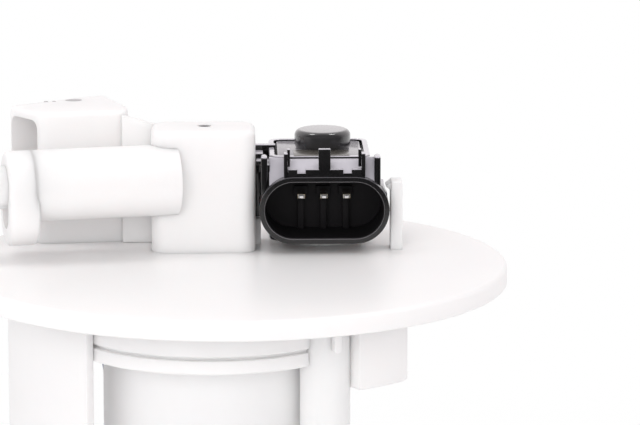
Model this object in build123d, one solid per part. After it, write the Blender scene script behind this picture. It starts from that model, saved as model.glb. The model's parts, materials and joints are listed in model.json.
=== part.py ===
from build123d import *
import math
import os

# In-tank fuel pump module. Millimetres, +Z up.
# z = 0 is the seat plane under the flange rim; the flange axis is X = Y = 0.
# The flange, filter, guide rods and tank-pressure sensor are fixed to the tank.
# The reservoir with its pump slides on the rods and is pressed down by two springs.

# --- Flange ----------------------------------------------------------------------------------
flange_radius = 50.0
flange_thickness = 3.5
flange_edge_round = 0.8
locating_ring_radius = 44.5
locating_ring_width = 1.5
locating_ring_height = 1.2
shield_radius = 40.5
shield_thickness = 1.8
shield_depth = 46.0
shield_start_angle = 186.0
shield_end_angle = 231.5
stop_block_depth = 12.5
stop_block_thickness = 3.6
stop_block_start_angle = 303.0
stop_block_end_angle = 319.5

# --- Filter can under the flange -------------------------------------------------------------
filter_x = -3.3
filter_y = -16.0
collar_radius = 25.0
collar_depth = 5.5
weld_groove = 0.6
can_rim_thickness = 2.5
can_radius = 19.5
can_wall = 1.6
can_length = 60.0
can_chamfer = 3.0
filter_end_plate = 1.5
filter_core_radius = 7.0
filter_pleats = 30
pleat_depth = 4.5
filter_side_gap = 0.6

# --- Pressure regulator under the filter can -------------------------------------------------
regulator_radius = 9.6
regulator_neck_radius = 6.5
regulator_body_height = 8.0
regulator_neck_height = 8.0
regulator_cup_wall = 1.4
regulator_cup_reach = 2.0
regulator_clip_skirt = 3.0
regulator_clip_edge = 1.0
regulator_clip_slot = 4.0
seal_wire = 1.6

# --- Guide rods, sleeves and springs ---------------------------------------------------------
rod_radius = 3.0
rod_wall_gap = 7.0
rod_angle = -62.4
rod_boss_radius = 4.4
rod_boss_depth = 22.0
rod_cover = 2.5
spring_wire = 1.2
spring_turns = 7
spring_rod_gap = 0.5
sleeve_seat_radius = 5.5
sleeve_radius = 4.9
sleeve_seat_height = 13.0
sleeve_reach = 13.5
retaining_ring_thickness = 0.8
retaining_ring_radius = 4.4
rod_end_length = 1.6
rod_groove = 0.5

# --- Reservoir -------------------------------------------------------------------------------
module_height = 190.0
reservoir_radius = 42.0
reservoir_wall = 1.8
reservoir_floor = 2.0
reservoir_height = 78.0
reservoir_flat_x = 32.0
foot_height = 3.0
foot_inset = 1.5
foot_width = 3.0
foot_arc = 76.0
foot_valve_inset = 13.0
foot_valve_stem = 2.0
foot_valve_hole = 1.6
foot_valve_hole_circle = 5.0
foot_valve_disc = 7.4
jet_inset = 12.5
jet_inlet_radius = 2.5
jet_height = 6.0
jet_branch_radius = 3.4
jet_branch_bore = 2.2
jet_throat = 0.8
mixing_bore = 1.3
lid_thickness = 2.0
lid_skirt_depth = 4.0
lid_skirt_thickness = 1.4
lid_rib_height = 2.5
lid_rib_thickness = 1.4
lid_rib_angles = (30, 100, 150, 215, 320)
strap_angles = (90, 160, 200, 270)
strap_width = 10.0
strap_thickness = 1.4
strap_length = 13.0
strap_window_width = 6.6
strap_window_top = 4.0
strap_window_bottom = 11.2
nib_width = 6.0
fill_window_radius = 5.0

# --- Pump ------------------------------------------------------------------------------------
pump_radius = 19.0
pump_shell_wall = 1.0
pump_cap_radius = 16.0
pump_cap_height = 8.0
pump_cap_plug_depth = 12.0
pump_inlet_thickness = 4.0
pump_spigot_radius = 4.4
pump_spigot_bore = 2.8
pump_spigot_length = 6.0
pump_roll = 0.8
pump_chamber_height = 4.0
chamber_plate_thickness = 3.5
impeller_radius = 15.4
impeller_blades = 24
impeller_side_gap = 0.2
shaft_radius = 1.5
armature_radius = 11.8
commutator_neck = 2.0
armature_slots = 8
magnet_inner_radius = 12.5
magnet_overhang = 2.0
magnet_arc = 130.0
commutator_radius = 6.5
commutator_height = 5.0
brush_width = 4.0
brush_height = 3.6
isolator_thickness = 2.0
isolator_hole = 12.5
pump_base_shelf = 9.0
pump_base_wall = 1.5
pump_base_height = 26.0
outlet_x = 6.0
outlet_y = 8.0
nipple_radius = 3.2
nipple_bore = 2.0
nipple_length = 14.0
nipple_barb = 0.5
pump_socket_x = -7.5
pump_socket_y = 7.0
pump_socket_length = 8.0
pump_socket_width = 6.0
pump_socket_depth = 7.0
socket_wall = 1.2
pump_plug_head = 5.0
pump_blade_offset = 2.0
pump_blade_width = 2.4
pump_blade_thickness = 0.8
strainer_rim_radius = 11.0
strainer_rim_thickness = 1.2
strainer_neck_radius = 6.2
strainer_radius = 15.5

# --- Hose and wires --------------------------------------------------------------------------
hose_radius = 4.0
hose_overlap = 10.0
flange_nipple_x = 12.0
flange_nipple_y = 14.5
flange_nipple_length = 14.0
wire_radius = 0.8

# --- Vent valve below the tower --------------------------------------------------------------
vent_x = -5.0
vent_y = 17.4
vent_radius = 8.0
vent_wall = 1.2
vent_depth = 28.0
vent_skirt_depth = 4.0
vent_roof = 1.4
vent_floor = 1.5
vent_drain = 3.0
vent_slot_width = 3.0
vent_float_gap = 0.6
vent_float_height = 14.0
vent_float_travel = 4.0
vent_orifice = 2.0

# --- Tower on the flange ---------------------------------------------------------------------
tower_left = -14.5
tower_right = 4.6
tower_front = 7.2
tower_back = 19.5
tower_top = 26.0
tower_corner = 3.0
tower_wall = 1.6
tower_hole_radius = 1.2
tower_hole_x = -4.7
tower_hole_y = 14.0

# --- Outlet port -----------------------------------------------------------------------------
port_root_x = -10.0
port_root_y = 9.5
port_angle = 192.0
port_z = 16.8
port_radius = 6.5
port_length = 29.0
port_collar_start = 26.0
port_collar_low = 6.0
port_collar_thickness = 5.5
outlet_radius = 4.0
outlet_bore = 2.7
outlet_length = 20.0
outlet_bead = 0.9
outlet_bead_width = 2.0

# --- Power connector hood --------------------------------------------------------------------
hood_mouth_x = -38.15
hood_mouth_y = 20.75
hood_angle = 35.0
hood_width = 11.4
hood_length = 21.5
hood_wall = 1.2
hood_top = 28.0
hood_right = -18.9
hood_right_front = 18.6
hood_right_back = 24.0
hood_roof = 1.6
hood_floor_z = 8.5
hood_socket_depth = 10.5
hood_recess_radius = 1.5
hood_recess_x = -29.3
hood_recess_y = 31.2
gusset_front = 17.0
gusset_thickness = 2.0
power_blades = 4
power_blade_width = 1.5
power_blade_thickness = 0.8
power_blade_pitch = 3.6
power_leg_pitch = 2.0
power_blade_reach = 5.5
plug_width = 5.6
plug_depth = 12.5
plug_gap = 1.5

# --- Tank-pressure sensor --------------------------------------------------------------------
sensor_x = 17.15
sensor_mouth_y = 6.0
sensor_mouth_z = 11.5
sensor_mouth_width = 23.8
sensor_mouth_height = 12.45
sensor_mouth_wall = 1.1
sensor_mouth_depth = 11.0
sensor_shell_length = 13.0
sensor_body_width = 18.5
sensor_body_front = 10.0
sensor_body_back = 29.0
sensor_body_bottom = 5.0
sensor_body_top = 20.9
sensor_body_corner = 2.4
sensor_tray_wall = 1.0
sensor_tray_depth = 0.8
sensor_lid_groove = 0.5
sensor_lid_drop = 0.3
sensor_cap_radius = 5.1
sensor_cap_y = 21.0
sensor_cap_top = 24.1
sensor_cap_round = 0.8
sensor_lip_top = 19.15
sensor_lip_half_width = 9.3
sensor_lip_thickness = 1.3
sensor_ramp_low = 18.35
sensor_ramp_high = 20.45
sensor_ramp_half_width = 8.0
sensor_notch_offset = 4.2
sensor_notch_width = 1.5
sensor_latch_width = 2.3
sensor_latch_top = 23.2
sensor_fin_top = 21.6
sensor_fin_offset = 7.0
sensor_fin_thickness = 0.75
sensor_rear_fin_offset = 6.35
sensor_rear_fin_thickness = 0.6
sensor_rear_fin_top = 21.9
sensor_ear_left = 10.6
sensor_ear_right = 9.75
sensor_ear_thickness = 1.1
sensor_ear_top = 21.3
sensor_ear_bottom = 9.0
sensor_port_radius = 4.0
sensor_port_bore = 1.5
sensor_port_y = 21.0
sensor_pad_radius = 7.5
sensor_pin_pitch = 4.15
sensor_pin_z = 13.4
sensor_pin_width = 1.5
sensor_pin_thickness = 0.8
sensor_pin_reach = 7.5
post_gap = 0.3
post_width = 2.2
post_front = 9.3
post_back = 13.8
post_top = 16.2
post_hook = 0.9

# --- Fuel level sender -----------------------------------------------------------------------
sender_frame_thickness = 2.0
sender_half_width = 15.0
sender_rail = 2.0
sender_rail_lip = 0.8
sender_rise = 27.0
sender_drop = 23.0
sender_card_thickness = 0.8
pivot_y = -1.0
card_side_low = 7.5
card_side_high = 13.3
card_low = 4.5
card_high = 20.0
contact_low = 5.5
contact_high = 14.0
contact_half = 2.4
arm_clip_y = -17.0
arm_clip_length = 5.0
arm_clip_half = 2.4
stop_inset = 1.7
stop_height = 5.0
stop_thickness = 2.5
pivot_height = 40.0
pivot_radius = 2.5
arm_holder_radius = 7.0
arm_holder_thickness = 4.5
arm_wire_radius = 1.1
arm_length = 88.0
arm_rest_angle = 16.0
arm_tail = 8.0
float_length = 22.0
float_width = 30.0
float_height = 16.0
float_bend_gap = 3.0
float_clip_radius = 3.0

# --- Named clearances ------------------------------------------------------------------------
running_fit = 0.05
seat_fit = 0.02
insert_gap = 0.2
free_gap = 0.3

# --- Levels and places worked out from the sizes above ---------------------------------------
base_z = -module_height
floor_bottom_z = base_z + foot_height
floor_z = floor_bottom_z + reservoir_floor
cup_top_z = floor_bottom_z + reservoir_height
lid_top_z = cup_top_z + lid_thickness
sleeve_top_z = lid_top_z + sleeve_seat_height
sleeve_bottom_z = cup_top_z - sleeve_reach
ring_top_z = sleeve_bottom_z - insert_gap
rod_end_z = ring_top_z - retaining_ring_thickness - rod_end_length
can_bottom_z = -can_length
rim_bottom_z = -collar_depth - can_rim_thickness
spring_radius = rod_radius + spring_rod_gap + spring_wire / 2
rod_circle = reservoir_radius - rod_wall_gap
rod_x = rod_circle * math.cos(math.radians(rod_angle))
rod_y = rod_circle * math.sin(math.radians(rod_angle))
rod_places = [(rod_x, rod_y), (-rod_x, -rod_y)]

shelf_z = floor_z + pump_base_shelf
strainer_top_z = shelf_z - pump_spigot_length - 0.8
pump_inlet_z = shelf_z + isolator_thickness
chamber_floor_z = pump_inlet_z + pump_inlet_thickness
chamber_top_z = chamber_floor_z + pump_chamber_height
motor_floor_z = chamber_top_z + chamber_plate_thickness
pump_shell_top_z = cup_top_z - isolator_thickness
pump_cap_top_z = pump_shell_top_z + pump_cap_height
pump_cap_bottom_z = pump_shell_top_z - pump_cap_plug_depth
pump_core_radius = pump_radius - pump_shell_wall

hood_axis = (math.cos(math.radians(hood_angle)), math.sin(math.radians(hood_angle)))
hood_place = Location((hood_mouth_x, hood_mouth_y, 0), (0, 0, hood_angle))
leg_start = hood_socket_depth + plug_gap
plug_length = power_leg_pitch * (power_blades - 1) + 2 * plug_gap
port_place = Location((port_root_x, port_root_y, port_z), (0, 0, port_angle))
pivot_z = floor_bottom_z + pivot_height
sender_top_z = pivot_z + sender_rise
sender_bottom_z = pivot_z - sender_drop
sender_face_x = reservoir_flat_x + sender_frame_thickness
holder_x = sender_face_x + sender_card_thickness + free_gap
arm_wire_x = holder_x + arm_holder_thickness + arm_wire_radius + insert_gap
float_x = arm_wire_x + 3 * arm_wire_radius
arm_place = Pos(0, pivot_y, pivot_z) * Rot(arm_rest_angle, 0, 0)


# --- Helpers ---------------------------------------------------------------------------------
def span(low, high):
    """Middle and length of a range."""
    return (low + high) / 2, high - low


def block(x_range, y_range, z_range):
    """Box between two planes in each direction."""
    (x, dx), (y, dy), (z, dz) = span(*x_range), span(*y_range), span(*z_range)
    return Pos(x, y, z) * Box(dx, dy, dz)


def disc(radius, z_range, place=(0, 0)):
    """Upright cylinder between two levels."""
    z, height = span(*z_range)
    return Pos(place[0], place[1], z) * Cylinder(radius, height)


def ring(outer, inner, z_range, place=(0, 0)):
    """Upright ring between two levels."""
    return disc(outer, z_range, place) - disc(inner, z_range, place)


def rod_along_x(radius, x_range, place):
    """Level cylinder along X at a (y, z) place."""
    x, length = span(*x_range)
    return Pos(x, place[0], place[1]) * Rot(0, 90, 0) * Cylinder(radius, length)


def turned(outline, place=(0, 0)):
    """Solid turned about an upright axis from (radius, z) corners."""
    corners = [(radius, 0, z) for radius, z in outline]
    return Pos(place[0], place[1], 0) * revolve(make_face(Polyline(*corners, close=True)), Axis.Z)


def arc_wall(outer, thickness, start_angle, end_angle, z_range):
    """Upright wall that follows a circle between two polar angles."""
    z, height = span(*z_range)
    section = Plane.XZ * Pos(outer - thickness / 2, z) * Rectangle(thickness, height)
    return Rot(0, 0, start_angle) * revolve(section, Axis.Z, revolution_arc=end_angle - start_angle)


def rounded_slab(width, depth, height, corner):
    """Plate with rounded upright edges, standing on z = 0."""
    return extrude(RectangleRounded(width, depth, corner), height)


def barbed_nipple(length, top_up=True):
    """Hose nipple that starts at z = 0, with three barbs towards its end."""
    barb_step = length / 5
    outline = [(nipple_bore, 0), (nipple_radius, 0)]
    for count in range(3):
        foot = length - barb_step * (3 - count)
        outline += [(nipple_radius, foot), (nipple_radius + nipple_barb, foot)]
        outline += [(nipple_radius, foot + barb_step * 0.9)]
    outline += [(nipple_radius, length), (nipple_bore, length)]
    nipple = turned(outline)
    return nipple if top_up else Rot(180, 0, 0) * nipple


def route_radii(points):
    """Arc radius for each corner: as large as its two runs allow."""
    radii = []
    for before, corner, after in zip(points, points[1:], points[2:]):
        first, second = Vector(corner) - Vector(before), Vector(after) - Vector(corner)
        half_turn = math.radians(first.get_angle(second)) / 2
        radii.append(0.45 * min(first.length, second.length) / math.tan(half_turn))
    return radii


def cord(points, radius, bore=0.0):
    """Tube along straight runs joined by tangent arcs."""
    radii = route_radii(points)
    path = FilletPolyline(*points, radius=radii)
    start = Plane(origin=path @ 0, z_dir=path % 0)
    solid = sweep(start * Circle(radius), path=path)
    if bore:
        solid -= sweep(start * Circle(bore), path=path)
    share = math.pi * (radius**2 - bore**2) * path.length
    print("cord length", round(path.length, 1), "radii", [round(r, 1) for r in radii],
          "volume share", round(solid.volume / share, 4))
    return solid


# --- Flange moulding -------------------------------------------------------------------------
def flange_plate():
    plate = disc(flange_radius, (0, flange_thickness))
    plate = fillet(plate.edges().group_by(Axis.Z)[-1], flange_edge_round)
    ring_inner = locating_ring_radius - locating_ring_width
    return plate + ring(locating_ring_radius, ring_inner, (-locating_ring_height, 0))


def filter_collar_solid():
    """Lid of the filter can, moulded under the plate, with the weld groove at its lower edge."""
    place = (filter_x, filter_y)
    groove_levels = (-collar_depth - 1, weld_groove - collar_depth)
    groove = ring(collar_radius + 1, collar_radius - weld_groove, groove_levels, place)
    return disc(collar_radius, (-collar_depth, 0), place) - groove


def filter_collar_cut():
    return disc(can_radius - can_wall, (-collar_depth - 1, -filter_end_plate), (filter_x, filter_y))


def rod_bosses():
    bosses = Part()
    for place in rod_places:
        bosses += disc(rod_boss_radius, (-rod_boss_depth, 0), place)
    return bosses


def splash_shields():
    """Long wall beside the filter and short stop block by the front rod."""
    long_wall = arc_wall(
        shield_radius, shield_thickness, shield_start_angle, shield_end_angle, (-shield_depth, 0))
    stop_block = arc_wall(
        shield_radius, stop_block_thickness, stop_block_start_angle, stop_block_end_angle,
        (-stop_block_depth, 0))
    return long_wall + stop_block


def hood_outline():
    across = (-hood_axis[1], hood_axis[0])
    half = hood_width / 2
    far = (hood_mouth_x + half * across[0], hood_mouth_y + half * across[1])
    near = (hood_mouth_x - half * across[0], hood_mouth_y - half * across[1])
    rear = (far[0] + hood_length * hood_axis[0], far[1] + hood_length * hood_axis[1])
    right_side = [(hood_right, hood_right_front), (hood_right, hood_right_back)]
    return Polygon(far, near, *right_side, rear, align=None)


def hood():
    """Power connector hood: its mouth looks outwards past the left of the flange."""
    body = Pos(0, 0, flange_thickness) * extrude(hood_outline(), hood_top - flange_thickness)
    body = fillet(body.edges().filter_by(Axis.Z), 1.6)
    body = fillet(body.edges().group_by(Axis.Z)[-1], 0.9)
    socket_width = hood_width - 2 * hood_wall
    socket_height = hood_top - hood_roof - hood_floor_z
    middle_z = hood_floor_z + socket_height / 2
    socket = extrude(RectangleRounded(socket_height, socket_width, 2.0), hood_socket_depth + 5)
    socket = hood_place * Pos(-5, 0, middle_z) * Rot(0, 90, 0) * socket
    recess = disc(hood_recess_radius, (hood_top - 1, hood_top + 1), (hood_recess_x, hood_recess_y))
    return body - socket - recess


def tower():
    """Hollow vent tower above the vent valve."""
    x, width = span(tower_left, tower_right)
    y, depth = span(tower_front, tower_back)
    height = tower_top - flange_thickness
    shell = Pos(x, y, flange_thickness) * rounded_slab(width, depth, height, tower_corner)
    shell = fillet(shell.edges().group_by(Axis.Z)[-1], 1.2)
    hollow = Pos(x, y, flange_thickness) * rounded_slab(
        width - 2 * tower_wall, depth - 2 * tower_wall, height - tower_wall, tower_corner - tower_wall)
    hole = disc(tower_hole_radius, (tower_top - 3, tower_top + 1), (tower_hole_x, tower_hole_y))
    return shell - hollow - hole


def gusset():
    """Sloped web between the hood and the tower."""
    drop = hood_top - tower_top + 0.4
    web = Polygon((hood_right - 1, flange_thickness), (tower_left + 1, flange_thickness),
                  (tower_left + 1, hood_top - drop), (hood_right - 1, hood_top - 0.6), align=None)
    plate = extrude(Plane.XZ * web, gusset_thickness, dir=(0, -1, 0))
    return Pos(0, gusset_front + gusset_thickness, 0) * plate


def outlet_port():
    """Port barrel from the tower, its guard collar and the line nipple."""
    barrel = Rot(0, 90, 0) * Pos(0, 0, port_length / 2) * Cylinder(port_radius, port_length)
    high = port_z + port_radius
    guard = SlotOverall(high - port_collar_low, 2 * port_radius, rotation=90)
    guard = Plane.YZ * Pos(0, (high + port_collar_low) / 2 - port_z) * guard
    guard = Pos(port_collar_start, 0, 0) * extrude(guard, port_collar_thickness)
    guard = fillet(guard.edges().filter_by(GeomType.CIRCLE), 0.8)
    tip = port_collar_start + port_collar_thickness + outlet_length
    pipe = Rot(0, 90, 0) * Pos(0, 0, tip / 2) * Cylinder(outlet_radius, tip)
    bead_at = tip - outlet_length * 0.35
    bead = Pos(bead_at, 0, 0) * Rot(0, 90, 0) * Cylinder(outlet_radius + outlet_bead, outlet_bead_width)
    bead = fillet(bead.edges(), outlet_bead_width * 0.3)
    return port_place * (barrel + guard + pipe + bead)


def outlet_bore_cut():
    tip = port_collar_start + port_collar_thickness + outlet_length
    depth = outlet_length + port_collar_thickness + 10
    return port_place * Pos(tip - depth / 2 + 1, 0, 0) * Rot(0, 90, 0) * Cylinder(outlet_bore, depth)


def sensor_seats():
    """Pad round the sensor port, hooked post on the right and rest on the left."""
    pad = disc(sensor_pad_radius, (0, sensor_body_bottom), (sensor_x, sensor_port_y))
    post_left = sensor_x + sensor_mouth_width / 2 + post_gap
    post = block((post_left, post_left + post_width), (post_front, post_back), (flange_thickness, post_top))
    nose = Polygon((post_left, post_top), (post_left, post_top - 2 * post_hook),
                   (post_left - post_hook, post_top - post_hook), align=None)
    post += Pos(0, post_back, 0) * extrude(Plane.XZ * nose, post_back - post_front, dir=(0, -1, 0))
    rest = block((tower_right - 1, tower_right + 1.0), (15, 20), (flange_thickness, 8.3))
    return pad + post + rest


def sensor_bore_cut():
    return disc(sensor_port_radius + insert_gap, (-5, sensor_body_bottom + 1), (sensor_x, sensor_port_y))


def vent_socket():
    """Short skirt that holds the vent valve cage."""
    return ring(vent_radius + vent_wall, vent_radius + seat_fit, (-vent_skirt_depth, 0), (vent_x, vent_y))


def plug_skirt():
    """Shroud round the inner harness plug, below the power connector."""
    x, length = span(leg_start - plug_gap, leg_start - plug_gap + plug_length)
    outer = hood_place * Pos(x, 0, -3) * Box(length + 2 * socket_wall, plug_width + 2 * socket_wall, 6)
    inner = hood_place * Pos(x, 0, -3) * Box(length + 2 * seat_fit, plug_width + 2 * seat_fit, 6)
    return outer - inner


def flange():
    hose_place = (flange_nipple_x, flange_nipple_y)
    body = flange_plate() + rod_bosses() + splash_shields() + filter_collar_solid()
    body += hood() + tower() + gusset() + outlet_port()
    body += sensor_seats() + vent_socket() + plug_skirt()
    body += Pos(*hose_place, 0) * barbed_nipple(flange_nipple_length, top_up=False)
    for place in rod_places:
        body -= disc(rod_radius + seat_fit, (-rod_boss_depth - 1, -rod_cover), place)
    body -= filter_collar_cut() + outlet_bore_cut() + sensor_bore_cut()
    body -= disc(nipple_bore, (-flange_nipple_length - 1, flange_thickness - 1), hose_place)
    body -= disc(vent_orifice, (-1, flange_thickness + 1), (vent_x, vent_y))
    return body - power_terminals()


# --- Power connector -------------------------------------------------------------------------
def power_terminals():
    """Bent blades: level in the hood, upright through the flange to the inner plug."""
    blades = Part()
    for number in range(power_blades):
        z = hood_floor_z + power_blade_width + 1.5 + power_blade_pitch * number
        leg = leg_start + power_leg_pitch * number
        half = power_blade_thickness / 2
        level = block((hood_socket_depth - power_blade_reach, leg + half), (-half, half),
                      (z - power_blade_width / 2, z + power_blade_width / 2))
        upright = block((leg - half, leg + half), (-half, half), (-plug_depth + 4, z))
        blades += hood_place * (level + upright)
    return blades


def harness_plug_upper():
    """Inner plug under the flange that takes the blades; the wires leave it downwards."""
    x, length = span(leg_start - plug_gap, leg_start - plug_gap + plug_length)
    body = Pos(x, 0, -plug_depth) * rounded_slab(length, plug_width, plug_depth - 0.2, 0.8)
    latch = block((x - 2, x + 2), (-plug_width / 2 - 0.8, -plug_width / 2), (-plug_depth, -7))
    return hood_place * (body + latch) - power_terminals()


# --- Filter ----------------------------------------------------------------------------------
def filter_can():
    """Can under the collar, with the regulator cup below its floor and a notch for the front rod boss."""
    inside = can_radius - can_wall
    cup = regulator_radius + regulator_cup_wall
    cup_end = can_bottom_z - regulator_body_height - regulator_cup_reach
    cup_bore = regulator_radius + seat_fit
    neck_bore = regulator_neck_radius + insert_gap
    floor = can_bottom_z + can_wall
    outline = [(inside, -collar_depth), (collar_radius, -collar_depth), (collar_radius, rim_bottom_z),
               (can_radius, rim_bottom_z), (can_radius, can_bottom_z + can_chamfer),
               (can_radius - can_chamfer, can_bottom_z), (cup, can_bottom_z), (cup, cup_end),
               (cup_bore, cup_end), (cup_bore, can_bottom_z), (neck_bore, can_bottom_z),
               (neck_bore, floor), (inside, floor)]
    can = turned(outline, (filter_x, filter_y))
    notch = disc(rod_boss_radius + free_gap, (rim_bottom_z - 1, 1), (rod_x, rod_y))
    return can - notch


def filter_element():
    """Pleated paper between its two end plates."""
    outer = can_radius - can_wall - filter_side_gap
    inner = outer - pleat_depth
    low = can_bottom_z + can_wall + regulator_neck_height + filter_end_plate
    high = -filter_end_plate - filter_end_plate
    star = []
    for number in range(2 * filter_pleats):
        angle = math.pi * number / filter_pleats
        reach = outer if number % 2 == 0 else inner
        star.append((reach * math.cos(angle), reach * math.sin(angle)))
    paper = Pos(filter_x, filter_y, low) * extrude(Polygon(*star, align=None), high - low)
    return paper - disc(filter_core_radius, (low - 1, high + 1), (filter_x, filter_y))


def filter_end_caps():
    """Upper and lower end plates bonded to the paper."""
    outer = can_radius - can_wall - filter_side_gap
    low = can_bottom_z + can_wall + regulator_neck_height
    place = (filter_x, filter_y)
    upper = ring(outer, filter_core_radius, (-2 * filter_end_plate, -filter_end_plate), place)
    lower = disc(outer, (low, low + filter_end_plate), place)
    stay = ring(outer, outer - 1.2, (can_bottom_z + can_wall, low), place)
    levels = (can_bottom_z, low - filter_end_plate)
    windows = block((filter_x - outer, filter_x + outer), (filter_y - 5, filter_y + 5), levels)
    windows += block((filter_x - 5, filter_x + 5), (filter_y - outer, filter_y + outer), levels)
    return upper + lower + (stay - windows)


# --- Pressure regulator ----------------------------------------------------------------------
def regulator_body():
    """Crimped two-shell regulator with the groove for its packing."""
    top = can_bottom_z
    end = top - regulator_body_height
    neck = regulator_neck_radius
    floor = top + can_wall + 1.4
    groove_low, groove_high = packing_levels()
    outline = [(0, top + regulator_neck_height * 0.6), (neck - 2, top + regulator_neck_height * 0.6),
               (neck - 2, floor), (neck, floor), (neck, groove_high),
               (neck - seal_wire, groove_high), (neck - seal_wire, groove_low),
               (neck, groove_low), (neck, top - 0.6), (regulator_radius, top - 0.6),
               (regulator_radius, top - 3.4), (regulator_radius - 1.4, top - 3.6),
               (regulator_radius - 2.4, end), (1.6, end), (1.6, end + 2), (0, end + 2)]
    return turned(outline, (filter_x, filter_y))


def packing_levels():
    middle = can_bottom_z + can_wall / 2
    return middle - seal_wire / 2, middle + seal_wire / 2


def regulator_packing():
    """Packing ring squeezed between the regulator neck and the floor of the can."""
    low, high = packing_levels()
    inner = regulator_neck_radius - seal_wire + seat_fit
    outer = regulator_neck_radius + insert_gap - seat_fit
    outline = [(inner, low + 0.1), (outer, low + 0.3), (outer, high - 0.3), (inner, high - 0.1)]
    return turned(outline, (filter_x, filter_y))


def regulator_clip():
    """Slotted clip over the cup that holds the regulator in."""
    cup = regulator_radius + regulator_cup_wall
    cup_end = can_bottom_z - regulator_body_height - regulator_cup_reach
    clip_top = can_bottom_z - regulator_body_height
    skirt = cup + insert_gap
    edge = skirt + regulator_clip_edge
    outline = [(4.0, cup_end - 1.0), (edge, cup_end - 1.0), (edge, cup_end + regulator_clip_skirt),
               (skirt, cup_end + regulator_clip_skirt), (skirt, cup_end), (regulator_radius - 0.4, cup_end),
               (regulator_radius - 1.4, clip_top), (4.0, clip_top)]
    clip = turned(outline, (filter_x, filter_y))
    reach = edge + 1
    half = regulator_clip_slot / 2
    levels = (cup_end + 0.6, cup_end + regulator_clip_skirt + 1)
    clip -= block((filter_x - reach, filter_x + reach), (filter_y - half, filter_y + half), levels)
    return clip - block((filter_x - half, filter_x + half), (filter_y - reach, filter_y + reach), levels)


# --- Rods, rings and springs -----------------------------------------------------------------
def guide_rods():
    rods = Part()
    for place in rod_places:
        rod = disc(rod_radius, (rod_end_z, -rod_cover), place)
        rod = chamfer(rod.edges().group_by(Axis.Z)[0], 0.5)
        levels = (ring_top_z - retaining_ring_thickness, ring_top_z)
        rods += rod - ring(rod_radius + 1, rod_radius - rod_groove, levels, place)
    return rods


def rod_retaining_rings():
    """Push-on rings in the rod grooves that stop the reservoir at its lowest place."""
    rings = Part()
    for place in rod_places:
        levels = (ring_top_z - retaining_ring_thickness, ring_top_z)
        clip = ring(retaining_ring_radius, rod_radius - rod_groove + seat_fit, levels, place)
        gap = block((place[0] - 1, place[0] + 1), (place[1], place[1] + retaining_ring_radius + 1),
                    (levels[0] - 1, levels[1] + 1))
        rings += clip - gap
    return rings


def guide_spring(place):
    """Compression spring between the boss above and the sleeve seat below."""
    half = spring_wire / 2
    length = -rod_boss_depth - sleeve_top_z - spring_wire - 2 * seat_fit
    coil = Helix(pitch=length / spring_turns, height=length, radius=spring_radius)
    section = Plane(origin=coil @ 0, z_dir=coil % 0) * RegularPolygon(half, 6)
    solid = sweep(section, path=coil, is_frenet=True)
    return Pos(place[0], place[1], sleeve_top_z + half + seat_fit) * solid


# --- Tank-pressure sensor --------------------------------------------------------------------
def obround(width, height, start_y, length):
    """Level bar along +Y with a rounded-slot section round the connector axis."""
    section = Plane(origin=(sensor_x, start_y, sensor_mouth_z), x_dir=(1, 0, 0), z_dir=(0, 1, 0))
    return extrude(section * SlotOverall(width, height), length)


def sensor_fins():
    """Lip, notches, latch block, fins and side ears round the top of the mouth."""
    top_z = sensor_mouth_z + sensor_mouth_height / 2
    front = sensor_mouth_y
    lip = block((sensor_x - sensor_lip_half_width, sensor_x + sensor_lip_half_width),
                (front, front + sensor_lip_thickness), (top_z - 3.5, sensor_lip_top))
    for side in (-1, 1):
        x = sensor_x + side * sensor_notch_offset
        half = sensor_notch_width / 2
        lip -= block((x - half, x + half), (front - 1, front + 3), (sensor_lip_top - 0.7, sensor_lip_top + 1))
    latch = block((sensor_x - sensor_latch_width / 2, sensor_x + sensor_latch_width / 2),
                  (front, front + 2.6), (top_z - 1, sensor_latch_top))
    latch = chamfer(latch.faces().sort_by(Axis.Z)[-1].edges(), 0.35)
    fins = lip + latch
    for side in (-1, 1):
        for offset, thickness, top, start, end in (
                (sensor_fin_offset, sensor_fin_thickness, sensor_fin_top, front + 0.6, front + 3.2),
                (sensor_rear_fin_offset, sensor_rear_fin_thickness, sensor_rear_fin_top, front + 3.2,
                 sensor_body_front + sensor_tray_wall)):
            x = sensor_x + side * offset
            fins += block((x - thickness / 2, x + thickness / 2), (start, end), (top_z - 2, top))
    for offset in (-sensor_ear_left, sensor_ear_right):
        fins += ear(sensor_x + offset, front + 1.4, front + 4.4)
    return fins


def ear(x, start, end):
    """Side ear: an upright wall whose top is rounded."""
    half = sensor_ear_thickness / 2
    wall = block((x - half, x + half), (start, end), (sensor_ear_bottom, sensor_ear_top))
    return fillet(wall.faces().sort_by(Axis.Z)[-1].edges().filter_by(Axis.Y), half * 0.9)


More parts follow.
